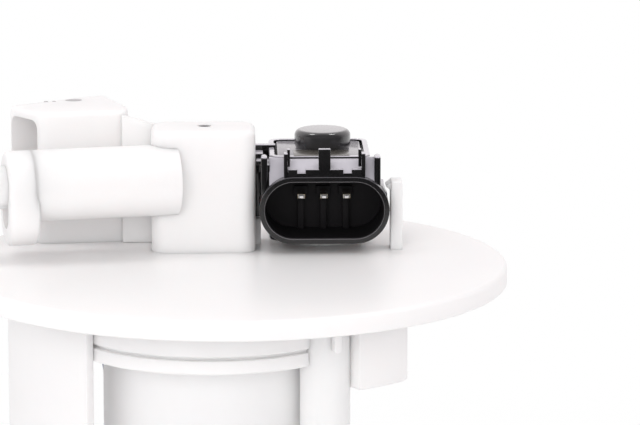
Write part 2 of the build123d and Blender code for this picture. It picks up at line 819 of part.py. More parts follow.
def sensor_housing():
    """Moulded housing: connector mouth, body with its tray, port and side rail."""
    shell = obround(sensor_mouth_width, sensor_mouth_height, sensor_mouth_y, sensor_shell_length)
    x, width = span(sensor_x - sensor_body_width / 2, sensor_x + sensor_body_width / 2)
    y, depth = span(sensor_body_front, sensor_body_back)
    body = Pos(x, y, sensor_body_bottom) * rounded_slab(
        width, depth, sensor_body_top - sensor_body_bottom, sensor_body_corner)
    tray = Pos(x, y, sensor_body_top - sensor_tray_depth) * rounded_slab(
        width - 2 * sensor_tray_wall, depth - 2 * sensor_tray_wall, 5, sensor_body_corner - sensor_tray_wall)
    body = body - tray
    shoulder_y = sensor_mouth_y + 6.4
    shoulder_foot = Pos(x, shoulder_y, sensor_mouth_z) * Rectangle(sensor_mouth_width - 1.2, 10)
    shoulder_top = Pos(x, shoulder_y, sensor_ramp_low) * Rectangle(sensor_body_width - 2, 10)
    shoulders = loft([shoulder_foot, shoulder_top])
    housing = shell + body + shoulders + sensor_ramp() + sensor_fins()
    port = disc(sensor_port_radius, (-1.0, sensor_body_bottom), (sensor_x, sensor_port_y))
    port = chamfer(port.edges().group_by(Axis.Z)[0], 0.5)
    groove = ring(sensor_port_radius + 1, sensor_port_radius - 1.2, (1.0, 2.8), (sensor_x, sensor_port_y))
    housing += port - groove
    left = sensor_x - sensor_body_width / 2
    rail = block((left - 3.3, left - 2.5), (16.5, 21), (8.5, sensor_body_top + 0.6))
    rail += block((left - 3.3, left + 0.5), (15, 21), (sensor_body_top - 1.4, sensor_body_top + 0.9))
    right = sensor_x + sensor_body_width / 2
    rail_end = sensor_x + sensor_mouth_width / 2 - free_gap
    rail += block((right - 0.5, rail_end), (post_front + 0.6, post_back - 0.6),
                  (sensor_mouth_z, post_top - 2 * post_hook - free_gap))
    housing += rail
    wall = sensor_mouth_wall
    cavity = obround(sensor_mouth_width - 2 * wall, sensor_mouth_height - 2 * wall, sensor_mouth_y - 1,
                     sensor_mouth_depth + 1)
    bevel = loft([
        Plane(origin=(sensor_x, sensor_mouth_y - 0.01, sensor_mouth_z), x_dir=(1, 0, 0), z_dir=(0, 1, 0))
        * SlotOverall(sensor_mouth_width - 0.7 * wall, sensor_mouth_height - 0.7 * wall),
        Plane(origin=(sensor_x, sensor_mouth_y + 0.8, sensor_mouth_z), x_dir=(1, 0, 0), z_dir=(0, 1, 0))
        * SlotOverall(sensor_mouth_width - 2 * wall, sensor_mouth_height - 2 * wall)])
    chamber = sensor_chamber()
    bore = disc(sensor_port_bore, (-2, sensor_body_bottom + 4), (sensor_x, sensor_port_y))
    return housing - cavity - bevel - chamber - bore - sensor_terminals()


def sensor_ramp():
    """Sloping ledge from behind the lip up to the front wall of the tray."""
    start = sensor_mouth_y + sensor_lip_thickness - 0.3
    end = sensor_body_front + sensor_tray_wall - 0.1
    low = sensor_ramp_low - 1.0
    outline = Polygon((start, low), (start, sensor_ramp_low), (sensor_body_front, sensor_ramp_high),
                      (end, sensor_ramp_high), (end, low), align=None)
    ramp = extrude(Plane.YZ * outline, sensor_ramp_half_width, both=True)
    return Pos(sensor_x, 0, 0) * ramp


def sensor_chamber():
    """Space for the circuit, open into the tray."""
    half = sensor_body_width / 2 - sensor_tray_wall - 1.2
    back = sensor_body_back - sensor_tray_wall - 1.2
    front = sensor_mouth_y + sensor_shell_length
    return block((sensor_x - half, sensor_x + half), (front, back), (sensor_body_bottom + 3, sensor_body_top))


def sensor_terminals():
    """Three level pins with pointed tips; they run back into the circuit space."""
    pins = Part()
    wall_y = sensor_mouth_y + sensor_mouth_depth
    for number in (-1, 0, 1):
        x = sensor_x + number * sensor_pin_pitch
        half = sensor_pin_width / 2
        pin_end = sensor_mouth_y + sensor_shell_length + 1.5
        pin = block((x - half, x + half), (wall_y - sensor_pin_reach, pin_end),
                    (sensor_pin_z - sensor_pin_thickness / 2, sensor_pin_z + sensor_pin_thickness / 2))
        pins += chamfer(pin.faces().sort_by(Axis.Y)[0].edges(), sensor_pin_thickness * 0.3)
    return pins


def sensor_circuit():
    """Circuit board on the pins with the pressure cell on it."""
    board_top = sensor_pin_z - sensor_pin_thickness / 2
    half = sensor_body_width / 2 - sensor_tray_wall - 1.2 - free_gap
    front = sensor_mouth_y + sensor_shell_length
    back = sensor_body_back - sensor_tray_wall - 1.2 - free_gap
    board = block((sensor_x - half, sensor_x + half), (front + free_gap, back), (board_top - 1.2, board_top))
    cell = disc(3.2, (sensor_body_bottom + 3, board_top - 1.2), (sensor_x, sensor_port_y + 2.4))
    return board + cell - disc(0.8, (0, board_top - 1.2), (sensor_x, sensor_port_y + 2.4))


def sensor_lid():
    """Cover plate bonded into the tray, with a groove left round it."""
    x, width = span(sensor_x - sensor_body_width / 2, sensor_x + sensor_body_width / 2)
    y, depth = span(sensor_body_front, sensor_body_back)
    edge = sensor_tray_wall + sensor_lid_groove
    deck = sensor_body_top - sensor_tray_depth
    corner = sensor_body_corner - edge / 2
    plate = rounded_slab(width - 2 * edge, depth - 2 * edge, sensor_tray_depth - sensor_lid_drop, corner)
    return Pos(x, y, deck) * plate


def sensor_cap():
    """Round vent cap on the cover plate."""
    deck = sensor_body_top - sensor_lid_drop
    cap = disc(sensor_cap_radius, (deck, sensor_cap_top), (sensor_x, sensor_cap_y))
    return fillet(cap.edges().group_by(Axis.Z)[-1], sensor_cap_round)


def sensor_seal():
    groove = sensor_port_radius - 1.2
    outline = [(groove + seat_fit, 1.15), (sensor_port_radius + insert_gap - seat_fit, 1.35),
               (sensor_port_radius + insert_gap - seat_fit, 2.45), (groove + seat_fit, 2.65)]
    return turned(outline, (sensor_x, sensor_port_y))


# --- Vent valve ------------------------------------------------------------------------------
def vent_cage():
    """Slotted cage that hangs in the skirt under the tower."""
    inner = vent_radius - vent_wall
    floor = vent_floor - vent_depth
    outline = [(vent_orifice, -vent_roof), (vent_orifice, -seat_fit), (vent_radius, -seat_fit),
               (vent_radius, -vent_depth), (vent_drain, -vent_depth), (vent_drain, floor),
               (inner, floor), (inner, -vent_roof)]
    cage = turned(outline, (vent_x, vent_y))
    slots = Part()
    slot = Pos(0, 0, -vent_depth * 0.55) * Box(2 * vent_radius + 2, vent_slot_width, vent_depth * 0.5)
    for angle in (0, 60, 120):
        slots += Rot(0, 0, angle) * slot
    return cage - Pos(vent_x, vent_y, 0) * slots


def vent_float():
    """Float that closes the orifice when fuel lifts it or the tank rolls over."""
    low = vent_floor - vent_depth
    radius = vent_radius - vent_wall - vent_float_gap
    top = low + vent_float_height
    tip = -vent_roof - vent_float_travel
    outline = [(0, low), (radius, low), (radius, top), (vent_orifice + 1.5, top),
               (vent_orifice - 0.4, tip), (0, tip)]
    return turned(outline, (vent_x, vent_y))


# --- Reservoir -------------------------------------------------------------------------------
def reservoir_outline(inset):
    """Round outline with a flat side for the level sender."""
    radius = reservoir_radius - inset
    flat = reservoir_flat_x - inset
    outline = Circle(radius) - Pos(flat + radius, 0) * Rectangle(2 * radius, 2 * radius)
    return fillet(outline.vertices(), 3.0)


def reservoir_cup():
    shell = Pos(0, 0, floor_bottom_z) * extrude(reservoir_outline(0), reservoir_height)
    shell -= Pos(0, 0, floor_z) * extrude(reservoir_outline(reservoir_wall), reservoir_height)
    for middle in (90, 180, 270):
        start, end = middle - foot_arc / 2, middle + foot_arc / 2
        shell += arc_wall(reservoir_radius - foot_inset, foot_width, start, end, (base_z, floor_bottom_z))
    levels = (base_z, floor_z + 1)
    valve = disc(foot_valve_stem, levels, foot_valve_place())
    for angle in range(0, 360, 60):
        x = foot_valve_place()[0] + foot_valve_hole_circle * math.cos(math.radians(angle))
        y = foot_valve_place()[1] + foot_valve_hole_circle * math.sin(math.radians(angle))
        valve += disc(foot_valve_hole, levels, (x, y))
    shell -= valve + disc(jet_inlet_radius, levels, jet_place())
    for side in (-1, 1):
        y = side * (sender_half_width + free_gap)
        rail_y = sorted((y, y + side * sender_rail))
        lip_y = sorted((y - side * 1.5, y + side * sender_rail))
        rail = block((reservoir_flat_x, sender_face_x), rail_y, (sender_bottom_z, sender_top_z))
        lip = block((sender_face_x, sender_face_x + sender_rail_lip), lip_y, (sender_bottom_z, sender_top_z))
        shell += rail + lip
    ledge = (sender_bottom_z - 2.5, sender_bottom_z - free_gap)
    shell += block((reservoir_flat_x, sender_face_x), (-6, 6), ledge)
    for angle in strap_angles:
        shell += latch_nib(angle)
    return shell


def foot_valve_place():
    return (0.0, foot_valve_inset - reservoir_radius)


def jet_place():
    return (jet_inset - reservoir_radius, 0.0)


def latch_nib(angle):
    """Wedge on the cup wall that a lid strap snaps under."""
    root = reservoir_radius - 0.3
    wedge = Polygon((root, 0), (reservoir_radius + 1.0, -2.0), (root, -nib_width), align=None)
    nib = extrude(Plane.XZ * wedge, nib_width / 2, both=True)
    return Rot(0, 0, angle) * Pos(0, 0, cup_top_z - 5) * nib


def reservoir_lid():
    """Lid that holds the pump and the guide sleeves, with its snap straps."""
    plate = Pos(0, 0, cup_top_z) * extrude(reservoir_outline(0), lid_thickness)
    skirt = extrude(reservoir_outline(reservoir_wall + seat_fit), lid_skirt_depth)
    skirt -= extrude(reservoir_outline(reservoir_wall + lid_skirt_thickness), lid_skirt_depth)
    lid = plate + Pos(0, 0, cup_top_z - lid_skirt_depth) * skirt
    for place in rod_places:
        lid -= disc(sleeve_seat_radius + insert_gap, (cup_top_z - lid_skirt_depth - 1, cup_top_z), place)
        lid -= disc(sleeve_radius + seat_fit, (cup_top_z - 1, lid_top_z + 1), place)
    lid -= disc(pump_cap_radius + insert_gap, (cup_top_z - 1, lid_top_z + 1))
    for place in fill_window_places():
        lid -= disc(fill_window_radius, (cup_top_z - lid_skirt_depth, lid_top_z + 1), place)
    for angle in strap_angles:
        lid += lid_strap(angle)
    half = lid_rib_thickness / 2
    rib = block((pump_cap_radius + 1.5, reservoir_radius - 13), (-half, half),
                (lid_top_z, lid_top_z + lid_rib_height))
    for angle in lid_rib_angles:
        lid += Rot(0, 0, angle) * rib
    return lid


def guide_sleeves():
    """Sleeves pressed into the lid; the springs stand on their heads and the rods run in them."""
    pair = []
    for place in rod_places:
        sleeve = disc(sleeve_radius, (sleeve_bottom_z, lid_top_z), place)
        sleeve += disc(sleeve_seat_radius, (lid_top_z + seat_fit, sleeve_top_z), place)
        sleeve += disc(sleeve_radius, (lid_top_z - 1, lid_top_z + 1), place)
        pair.append(sleeve - disc(rod_radius + running_fit, (sleeve_bottom_z - 1, sleeve_top_z + 1), place))
    return pair[0] + pair[1]


def fill_window_places():
    return [(-27.0, -14.0), (10.0, 29.0)]


def lid_strap(angle):
    """Strap with a window that snaps over a nib of the cup."""
    inner = reservoir_radius + insert_gap
    outer = inner + strap_thickness
    side = (-strap_width / 2, strap_width / 2)
    strap = block((inner, outer), side, (cup_top_z - strap_length, lid_top_z))
    strap += block((reservoir_radius - 2, outer), side, (cup_top_z, lid_top_z))
    half = strap_window_width / 2
    levels = (cup_top_z - strap_window_bottom, cup_top_z - strap_window_top)
    strap -= block((inner - 1, outer + 1), (-half, half), levels)
    return Rot(0, 0, angle) * strap


def foot_valve():
    """Rubber umbrella valve over the filling holes."""
    stem = foot_valve_stem - seat_fit
    bead = stem + 0.62
    under = floor_bottom_z - seat_fit
    over = floor_z + seat_fit
    outline = [(0, floor_bottom_z - 1.5), (bead, floor_bottom_z - 1.2), (bead, under), (stem, under),
               (stem, over), (foot_valve_disc, over), (foot_valve_disc, floor_z + 0.5),
               (3, floor_z + 1.6), (0, floor_z + 2.0)]
    return turned(outline, foot_valve_place())


# --- Pump ------------------------------------------------------------------------------------
def pump_base():
    """Stand on the cup floor: shelf for the pump, windows for the fuel and the jet branch."""
    outer = pump_radius + free_gap + pump_base_wall
    wall = ring(outer, pump_radius + free_gap, (shelf_z, floor_z + pump_base_height))
    lower = ring(outer, outer - 2 * pump_base_wall, (floor_z, shelf_z))
    shelf = ring(outer, isolator_hole - 0.5, (shelf_z - pump_base_wall, shelf_z))
    windows = Part()
    for angle in (45, 90, 135):
        windows += Rot(0, 0, angle) * block((-outer - 1, outer + 1), (-5, 5), (floor_z + 1.5, shelf_z - 2.5))
    branch_end = -outer - 5.2
    branch = rod_along_x(jet_branch_radius, (branch_end, -outer + 0.5), (0, jet_z()))
    branch_bore = rod_along_x(jet_branch_bore, (branch_end - 1, -outer - 2), (0, jet_z()))
    return wall + lower + shelf - windows + branch - branch_bore


def jet_z():
    return floor_z + jet_height


def jet_nozzle():
    """Pressed into the branch; its tip throws the jet into the mixing bore."""
    stem = jet_branch_bore - seat_fit
    outline = [(jet_throat, 0), (stem, 0), (stem, 4.0), (1.6, 6.5), (jet_throat, 6.5)]
    nozzle = Rot(0, -90, 0) * turned(outline)
    return Pos(-pump_radius - free_gap - pump_base_wall - 2.4, 0, jet_z()) * nozzle


def jet_pump():
    """Jet pump body over its floor inlet, with the mixing bore along X."""
    x, y = jet_place()
    outer_x = reservoir_wall + 2.2 - reservoir_radius
    inner_x = x + 3.3
    body = block((outer_x, inner_x), (-4.5, 4.5), (floor_z, jet_z() + 4.2))
    body = fillet(body.edges().filter_by(Axis.Z), 1.5)
    body -= disc(jet_inlet_radius, (floor_z - 1, jet_z()), (x, y))
    body -= rod_along_x(2.6, (x - 2.0, inner_x + 1), (0, jet_z()))
    return body - rod_along_x(mixing_bore, (outer_x - 1, x - 1.5), (0, jet_z()))


def pump_inlet():
    """Inlet cover with the suction spigot and the impeller side wall."""
    cover = disc(pump_core_radius - seat_fit, (pump_inlet_z, chamber_floor_z))
    wall = ring(pump_core_radius - seat_fit, impeller_radius + free_gap, (chamber_floor_z, chamber_top_z))
    spigot_end = shelf_z - pump_spigot_length
    spigot = disc(pump_spigot_radius, (spigot_end, pump_inlet_z))
    cover += wall + spigot - disc(pump_spigot_bore, (spigot_end - 1, pump_inlet_z + 2))
    cover -= disc(shaft_radius + running_fit, (chamber_floor_z - 1.6, chamber_top_z))
    channel = ring(impeller_radius - 0.6, impeller_radius - 3.2, (chamber_floor_z - 1.2, chamber_floor_z))
    return cover - channel


def chamber_plate():
    plate = disc(pump_core_radius - seat_fit, (chamber_top_z, motor_floor_z))
    plate -= disc(shaft_radius + running_fit, (chamber_top_z - 1, motor_floor_z + 1))
    return plate - disc(1.8, (chamber_top_z - 1, motor_floor_z + 1), (impeller_radius - 3, 0))


def pump_casing():
    """Drawn steel tube, rolled in over the inlet cover and the end cap."""
    low = pump_inlet_z - pump_roll
    high = pump_shell_top_z + pump_roll
    lip = pump_core_radius - 1.0
    tube = ring(pump_radius, pump_core_radius, (low, high))
    tube += ring(pump_core_radius, lip, (low, pump_inlet_z - seat_fit))
    return tube + ring(pump_core_radius, lip, (pump_shell_top_z + seat_fit, high))


def impeller():
    low = chamber_floor_z + impeller_side_gap
    high = chamber_top_z - impeller_side_gap
    wheel = ring(impeller_radius, shaft_radius + seat_fit, (low, high))
    for number in range(impeller_blades):
        pocket = Pos(impeller_radius - 1.7, 0, (low + high) / 2) * Box(2.0, 1.8, high - low + 2)
        wheel -= Rot(0, 0, 360 / impeller_blades * number) * pocket
    return wheel


def rotor_levels():
    """Levels of the armature, the magnets, the commutator and the brushes."""
    armature_low = motor_floor_z + 4.5
    commutator_low = pump_cap_bottom_z - 9.0
    return armature_low, commutator_low


def armature():
    """Slotted stack and commutator on the shaft."""
    low, commutator_low = rotor_levels()
    armature_height = commutator_low - commutator_neck - low
    stack = disc(armature_radius, (low, low + armature_height))
    for number in range(armature_slots):
        slot = Pos(armature_radius, 0, low + armature_height / 2) * Box(7.0, 1.2, armature_height + 2)
        slot += Pos(armature_radius - 4.2, 0, low + armature_height / 2) * Box(2.4, 3.0, armature_height + 2)
        stack -= Rot(0, 0, 360 / armature_slots * number) * slot
    neck = disc(3.0, (low + armature_height, commutator_low))
    stack += neck + disc(commutator_radius, (commutator_low, commutator_low + commutator_height))
    return stack - disc(shaft_radius + seat_fit, (low - 1, commutator_low + commutator_height + 1))


def rotor_shaft():
    return disc(shaft_radius, (chamber_floor_z - 1.4, pump_cap_bottom_z + 5.0))


def magnets():
    low = rotor_levels()[0] - magnet_overhang
    high = rotor_levels()[1] - commutator_neck + magnet_overhang
    pair = Part()
    for start in (90 - magnet_arc / 2, 270 - magnet_arc / 2):
        outer = pump_core_radius - seat_fit
        pair += arc_wall(outer, outer - magnet_inner_radius, start, start + magnet_arc, (low, high))
    return pair


def brush_levels():
    middle = rotor_levels()[1] + commutator_height / 2
    return middle - brush_height / 2, middle + brush_height / 2


def brushes():
    low, high = brush_levels()
    half = brush_width / 2 - 0.1
    pair = Part()
    for side in (-1, 1):
        x_range = sorted((side * (commutator_radius + free_gap), side * (pump_core_radius - 6.5)))
        pair += block(x_range, (-half, half), (low + 0.1, high - 0.1))
    return pair


def pump_end_cap():
    """Plastic end cap: top bearing, brush boxes, outlet nipple and electric socket."""
    cap = disc(pump_core_radius - seat_fit, (pump_cap_bottom_z, pump_shell_top_z))
    crown = disc(pump_cap_radius, (pump_shell_top_z, pump_cap_top_z))
    crown = fillet(crown.edges().group_by(Axis.Z)[-1], 1.5)
    cap += crown
    low, high = brush_levels()
    holder = brush_width / 2 + 1.2
    for side in (-1, 1):
        x_range = sorted((side * (commutator_radius + 1.5), side * (pump_core_radius - 2.5)))
        box = block(x_range, (-holder, holder), (low - 1.2, pump_cap_bottom_z))
        x_slot = sorted((side * commutator_radius, side * (pump_core_radius - 6.5 + seat_fit)))
        cap += box - block(x_slot, (-brush_width / 2, brush_width / 2), (low, high))
    cap -= disc(shaft_radius + running_fit, (pump_cap_bottom_z - 1, pump_cap_bottom_z + 5.4))
    shroud_x, shroud_y = pump_socket_length + 2 * socket_wall, pump_socket_width + 2 * socket_wall
    shroud = Pos(pump_socket_x, pump_socket_y, pump_cap_top_z - 1) * rounded_slab(
        shroud_x, shroud_y, pump_socket_depth - 1, 0.9)
    cap += shroud
    socket_floor = pump_cap_top_z - 2
    cap -= Pos(pump_socket_x, pump_socket_y, socket_floor) * Box(
        pump_socket_length, pump_socket_width, 30, align=(Align.CENTER, Align.CENTER, Align.MIN))
    cap += Pos(outlet_x, outlet_y, pump_cap_top_z) * barbed_nipple(nipple_length)
    cap -= disc(nipple_bore, (pump_shell_top_z - 3, pump_cap_top_z + nipple_length + 1), (outlet_x, outlet_y))
    return cap - pump_terminals()


def pump_terminals():
    """Two blades that stand in the socket of the end cap."""
    floor = pump_cap_top_z - 2
    half = pump_blade_thickness / 2
    y_range = (pump_socket_y - pump_blade_width / 2, pump_socket_y + pump_blade_width / 2)
    pair = Part()
    for side in (-1, 1):
        x = pump_socket_x + side * pump_blade_offset
        pair += block((x - half, x + half), y_range, (floor - 4, floor + 4.5))
    return pair


def harness_plug_pump():
    """Plug in the pump socket; its wires leave it upwards."""
    floor = pump_cap_top_z - 2
    length, width = pump_socket_length - 2 * insert_gap, pump_socket_width - 2 * insert_gap
    body = rounded_slab(length, width, pump_socket_depth, 0.5)
    head = Pos(0, 0, pump_socket_depth) * rounded_slab(length + 2, width + 2, pump_plug_head, 0.8)
    return Pos(pump_socket_x, pump_socket_y, floor) * (body + head) - pump_terminals()


def pump_isolators():
    """Rubber rings over and under the pump."""
    under = ring(pump_core_radius, isolator_hole, (shelf_z, pump_inlet_z - pump_roll))
    over = ring(pump_radius, pump_cap_radius + insert_gap, (pump_shell_top_z + pump_roll, cup_top_z))
    return under + over


def strainer_frame():
    """Stiff neck and rim of the suction strainer under the pump."""
    rim_top = strainer_top_z + strainer_rim_thickness
    bore = pump_spigot_radius + insert_gap
    neck = disc(strainer_neck_radius, (rim_top, shelf_z - pump_base_wall - insert_gap))
    rim = disc(strainer_rim_radius, (strainer_top_z, rim_top))
    return neck + rim - disc(bore, (strainer_top_z - 1, shelf_z))


def strainer_sock():
    """Flat filter bag below its frame."""
    bag = disc(strainer_radius, (floor_z + 0.1, strainer_top_z))
    return chamfer(bag.edges(), 0.6)


# --- Fuel level sender -----------------------------------------------------------------------
def sender_frame():
    """Frame that slides into the rails of the cup, with the pivot pin and a wire dock."""
    half = sender_half_width
    plate = block((reservoir_flat_x, sender_face_x), (-half, half), (sender_bottom_z, sender_top_z))
    card_window = block((sender_face_x - 0.6, sender_face_x + 1), card_range_y(), card_range_z())
    pin_end = holder_x + arm_holder_thickness - insert_gap
    pin = rod_along_x(pivot_radius, (reservoir_flat_x + 0.5, pin_end), (pivot_y, pivot_z))
    dock = block((sender_face_x, sender_face_x + 5.0), (-5, 5), (sender_top_z - 7, sender_top_z))
    dock_x = (sender_face_x + 1.2, sender_face_x + 3.8)
    dock -= block(dock_x, (-3.8, 3.8), (sender_top_z - 5, sender_top_z + 1))
    stop_y, stop_z = arm_stop_place()
    stop = block((sender_face_x, sender_face_x + 3.0), (stop_y, stop_y + stop_thickness),
                 (stop_z - stop_height, stop_z))
    return plate - card_window + pin + dock + stop


def arm_stop_place():
    """Low Y side and top level of the stop that the arm holder rests on."""
    slope = math.radians(arm_rest_angle)
    stop_y = stop_inset - sender_half_width
    arm_edge = (stop_y - pivot_y) * math.tan(slope) - arm_clip_half / math.cos(slope)
    return stop_y, pivot_z + arm_edge - insert_gap


def card_range_y():
    return (pivot_y - card_side_low, pivot_y + card_side_high)


def card_range_z():
    return (pivot_z + card_low, pivot_z + card_high)


def sender_card():
    """Ceramic resistor card in the frame recess."""
    y_low, y_high = card_range_y()
    z_low, z_high = card_range_z()
    return block((sender_face_x - 0.6, sender_face_x - 0.6 + sender_card_thickness),
                 (y_low + insert_gap, y_high - insert_gap), (z_low + insert_gap, z_high - insert_gap))


def arm_holder():
    """Moulded holder that turns on the pivot pin and clips round the arm wire."""
    axis_cut = rod_along_x(pivot_radius + running_fit, (holder_x - 1, holder_x + 20), (0, 0))
    hub = rod_along_x(arm_holder_radius, (holder_x, holder_x + arm_holder_thickness), (0, 0))
    pointer = block((holder_x, holder_x + 1.6), (-3.0, 3.0), (0, 15.0))
    clips = Part()
    half = arm_clip_half
    for y_range in ((arm_clip_y, arm_clip_y + arm_clip_length), (5.0, arm_tail)):
        clips += block((holder_x, arm_wire_x + arm_wire_radius + 0.8), y_range, (-half, half))
    rib = block((holder_x, holder_x + half), (arm_clip_y, arm_tail), (-half, half))
    groove = rod_to_y(arm_wire_radius + seat_fit, (-20, arm_tail + 1))
    return arm_place * (hub + pointer + clips + rib - axis_cut - groove)


def rod_to_y(radius, y_range):
    """Level cylinder along the arm at the wire's place."""
    y, length = span(*y_range)
    return Pos(arm_wire_x, y, 0) * Rot(90, 0, 0) * Cylinder(radius, length)


def sender_contact():
    """Sprung two-finger wiper on the pointer of the holder."""
    x_range = (sender_face_x - 0.6 + sender_card_thickness + 0.08, holder_x)
    plate = block((holder_x - 0.25, holder_x), (-contact_half, contact_half), (contact_low, contact_high))
    fingers = Part()
    for y in (-1.5, 1.5):
        fingers += block(x_range, (y - 0.5, y + 0.5), (contact_high - 1.4, contact_high - 0.2))
    return arm_place * (plate + fingers)


def float_arm_wire():
    """Steel wire: straight along the holder and the arm, bent outwards through the float."""
    bend = 4.0
    points = [(arm_wire_x, arm_tail, 0), (arm_wire_x, -arm_length, 0),
              (float_x + float_length + 3.0, -arm_length, 0)]
    path = FilletPolyline(*points, radius=bend)
    wire = sweep(Plane(origin=path @ 0, z_dir=path % 0) * Circle(arm_wire_radius), path=path)
    return arm_place * wire


def float_body():
    """Closed-cell float that turns freely on the wire end."""
    body = block((float_x + float_bend_gap, float_x + float_length),
                 (-arm_length - float_width / 2, float_width / 2 - arm_length),
                 (-float_height / 2, float_height / 2))
    body = fillet(body.edges(), 2.0)
    bore = arm_wire_radius + 2 * running_fit
    return arm_place * (body - rod_along_x(bore, (float_x, float_x + float_length + 5), (-arm_length, 0)))


def float_clip():
    """Push-on cap that keeps the float on the wire."""
    start = float_x + float_length + free_gap
    cap = rod_along_x(float_clip_radius, (start, start + 1.4), (-arm_length, 0))
    cap -= rod_along_x(arm_wire_radius + seat_fit, (start - 1, start + 3), (-arm_length, 0))
    return arm_place * cap


# --- Hose and harness ------------------------------------------------------------------------
def down(top, bottom, share):
    """Level at a share of the way down from top to bottom."""
    return top + (bottom - top) * share


def hose_route():
    """Route of the supply hose, from the flange nipple down to the pump nipple."""
    top = -flange_nipple_length + hose_overlap
    bottom = pump_cap_top_z + nipple_length - hose_overlap
    x, y = flange_nipple_x, flange_nipple_y
    return [
        (x, y, top),
        (x, y, down(top, bottom, 0.21)),
        (x + 2.5, y + 3.5, down(top, bottom, 0.42)),
        (outlet_x + 3.0, outlet_y + 3.5, down(top, bottom, 0.63)),
        (outlet_x, outlet_y, down(top, bottom, 0.84)),
        (outlet_x, outlet_y, bottom),
    ]


def supply_hose():
    route = hose_route()
    hose = cord(route, hose_radius)
    bore = nipple_radius + nipple_barb + seat_fit
    hose -= disc(bore, (-flange_nipple_length - 1, 5), (flange_nipple_x, flange_nipple_y))
    hose -= disc(bore, (-300, pump_cap_top_z + nipple_length + 1), (outlet_x, outlet_y))
    return hose


def hose_clamps():
    """Ear clamps over the two hose ends."""
    upper_z = -flange_nipple_length + hose_overlap - 3.5
    lower_z = pump_cap_top_z + nipple_length - hose_overlap + 3.5
    pair = []
    for place, z in (((flange_nipple_x, flange_nipple_y), upper_z), ((outlet_x, outlet_y), lower_z)):
        band = ring(hose_radius + 0.6, hose_radius + seat_fit, (z - 2.2, z + 2.2), place)
        ear_x = place[0] + hose_radius + 0.4
        band += block((ear_x, ear_x + 1.8), (place[1] - 1.2, place[1] + 1.2), (z - 2.2, z + 2.2))
        pair.append(band)
    return pair


def leg_point(number, z):
    """Place of a power blade leg at a level."""
    reach = leg_start + power_leg_pitch * number
    return (hood_mouth_x + reach * hood_axis[0], hood_mouth_y + reach * hood_axis[1], z)


def pump_wires():
    """Two wires from the inner plug down to the pump plug."""
    top = -plug_depth
    bottom = pump_cap_top_z - 2 + pump_socket_depth + pump_plug_head
    pair = Part()
    for number, x in ((0, pump_socket_x - pump_blade_offset), (1, pump_socket_x + pump_blade_offset)):
        start_x, start_y, _ = leg_point(number, top)
        route = [
            (start_x, start_y, top),
            (start_x, start_y, down(top, bottom, 0.05)),
            (start_x - 2.5, start_y - 2.5, down(top, bottom, 0.16)),
            (start_x - 2.5, start_y - 4.0, down(top, bottom, 0.34)),
            (x - 12.5, 16.5, down(top, bottom, 0.58)),
            (x - 3.0, pump_socket_y + 4, down(top, bottom, 0.76)),
            (x, pump_socket_y, down(top, bottom, 0.91)),
            (x, pump_socket_y, bottom),
        ]
        pair += cord(route, wire_radius)
    return pair


def sender_wires():
    """Two wires from the inner plug across the lid to the sender dock."""
    top = -plug_depth
    bottom = sender_top_z - 1.0
    dock_x = sender_face_x + 2.5
    pair = Part()
    for number, y in ((2, -2.0), (3, 2.0)):
        start_x, start_y, _ = leg_point(number, top)
        route = [
            (start_x, start_y, top),
            (start_x, start_y, down(top, bottom, 0.04)),
            (-22.6 + 0.1 * y, 28.5 + 0.75 * y, down(top, bottom, 0.11)),
            (-22.5 + 0.25 * y, 24.5 + y, down(top, bottom, 0.29)),
            (-12.0 + y, 21.5 + y, down(top, bottom, 0.46)),
            (3.0, 19.5 + y, down(top, bottom, 0.59)),
            (20.0, 14.0 + y, down(top, bottom, 0.71)),
            (dock_x - 3.5, 6.0 + y, down(top, bottom, 0.80)),
            (dock_x, y, down(top, bottom, 0.90)),
            (dock_x, y, bottom),
        ]
        pair += cord(route, wire_radius)
    return pair


def save(shape, node):
    export_step(shape, f"parts/{node}.step")


def main():
    os.makedirs("parts", exist_ok=True)
    upper_clamp, lower_clamp = hose_clamps()
    nodes = {
        "flange": flange(), "power_terminals": power_terminals(), "harness_plug_upper": harness_plug_upper(),
        "filter_can": filter_can(), "filter_element": filter_element(), "filter_end_caps": filter_end_caps(),
        "pressure_regulator": regulator_body(), "regulator_clip": regulator_clip(),
        "regulator_seal": regulator_packing(),
        "guide_rods": guide_rods(), "rod_retaining_rings": rod_retaining_rings(),
        "spring_front": guide_spring(rod_places[0]), "spring_rear": guide_spring(rod_places[1]),
        "sensor_housing": sensor_housing(), "sensor_terminals": sensor_terminals(),
        "sensor_circuit": sensor_circuit(), "sensor_lid": sensor_lid(), "sensor_cap": sensor_cap(),
        "sensor_seal": sensor_seal(),
        "vent_cage": vent_cage(), "vent_float": vent_float(),
        "supply_hose": supply_hose(), "hose_clamp_upper": upper_clamp, "hose_clamp_lower": lower_clamp,
        "pump_wires": pump_wires(), "sender_wires": sender_wires(), "harness_plug_pump": harness_plug_pump(),
        "reservoir_cup": reservoir_cup(), "reservoir_lid": reservoir_lid(), "guide_sleeves": guide_sleeves(),
        "foot_valve": foot_valve(), "jet_pump": jet_pump(), "jet_nozzle": jet_nozzle(),
        "pump_base": pump_base(), "pump_isolators": pump_isolators(), "pump_casing": pump_casing(),
        "pump_inlet": pump_inlet(), "chamber_plate": chamber_plate(), "pump_end_cap": pump_end_cap(),
        "pump_terminals": pump_terminals(), "magnets": magnets(), "brushes": brushes(),
        "impeller": impeller(), "armature": armature(), "rotor_shaft": rotor_shaft(),
        "strainer_frame": strainer_frame(), "strainer_sock": strainer_sock(),
        "sender_frame": sender_frame(), "sender_card": sender_card(), "arm_holder": arm_holder(),
        "sender_contact": sender_contact(), "float_arm_wire": float_arm_wire(), "float_body": float_body(),
        "float_clip": float_clip(),
    }
    for node, shape in nodes.items():
        save(shape, node)


main()
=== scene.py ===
"""Visual model of an in-tank fuel pump module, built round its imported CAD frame.

Shapes are in millimetres until a mesh is finished; finishes, patterns and the studio are in metres.
"""

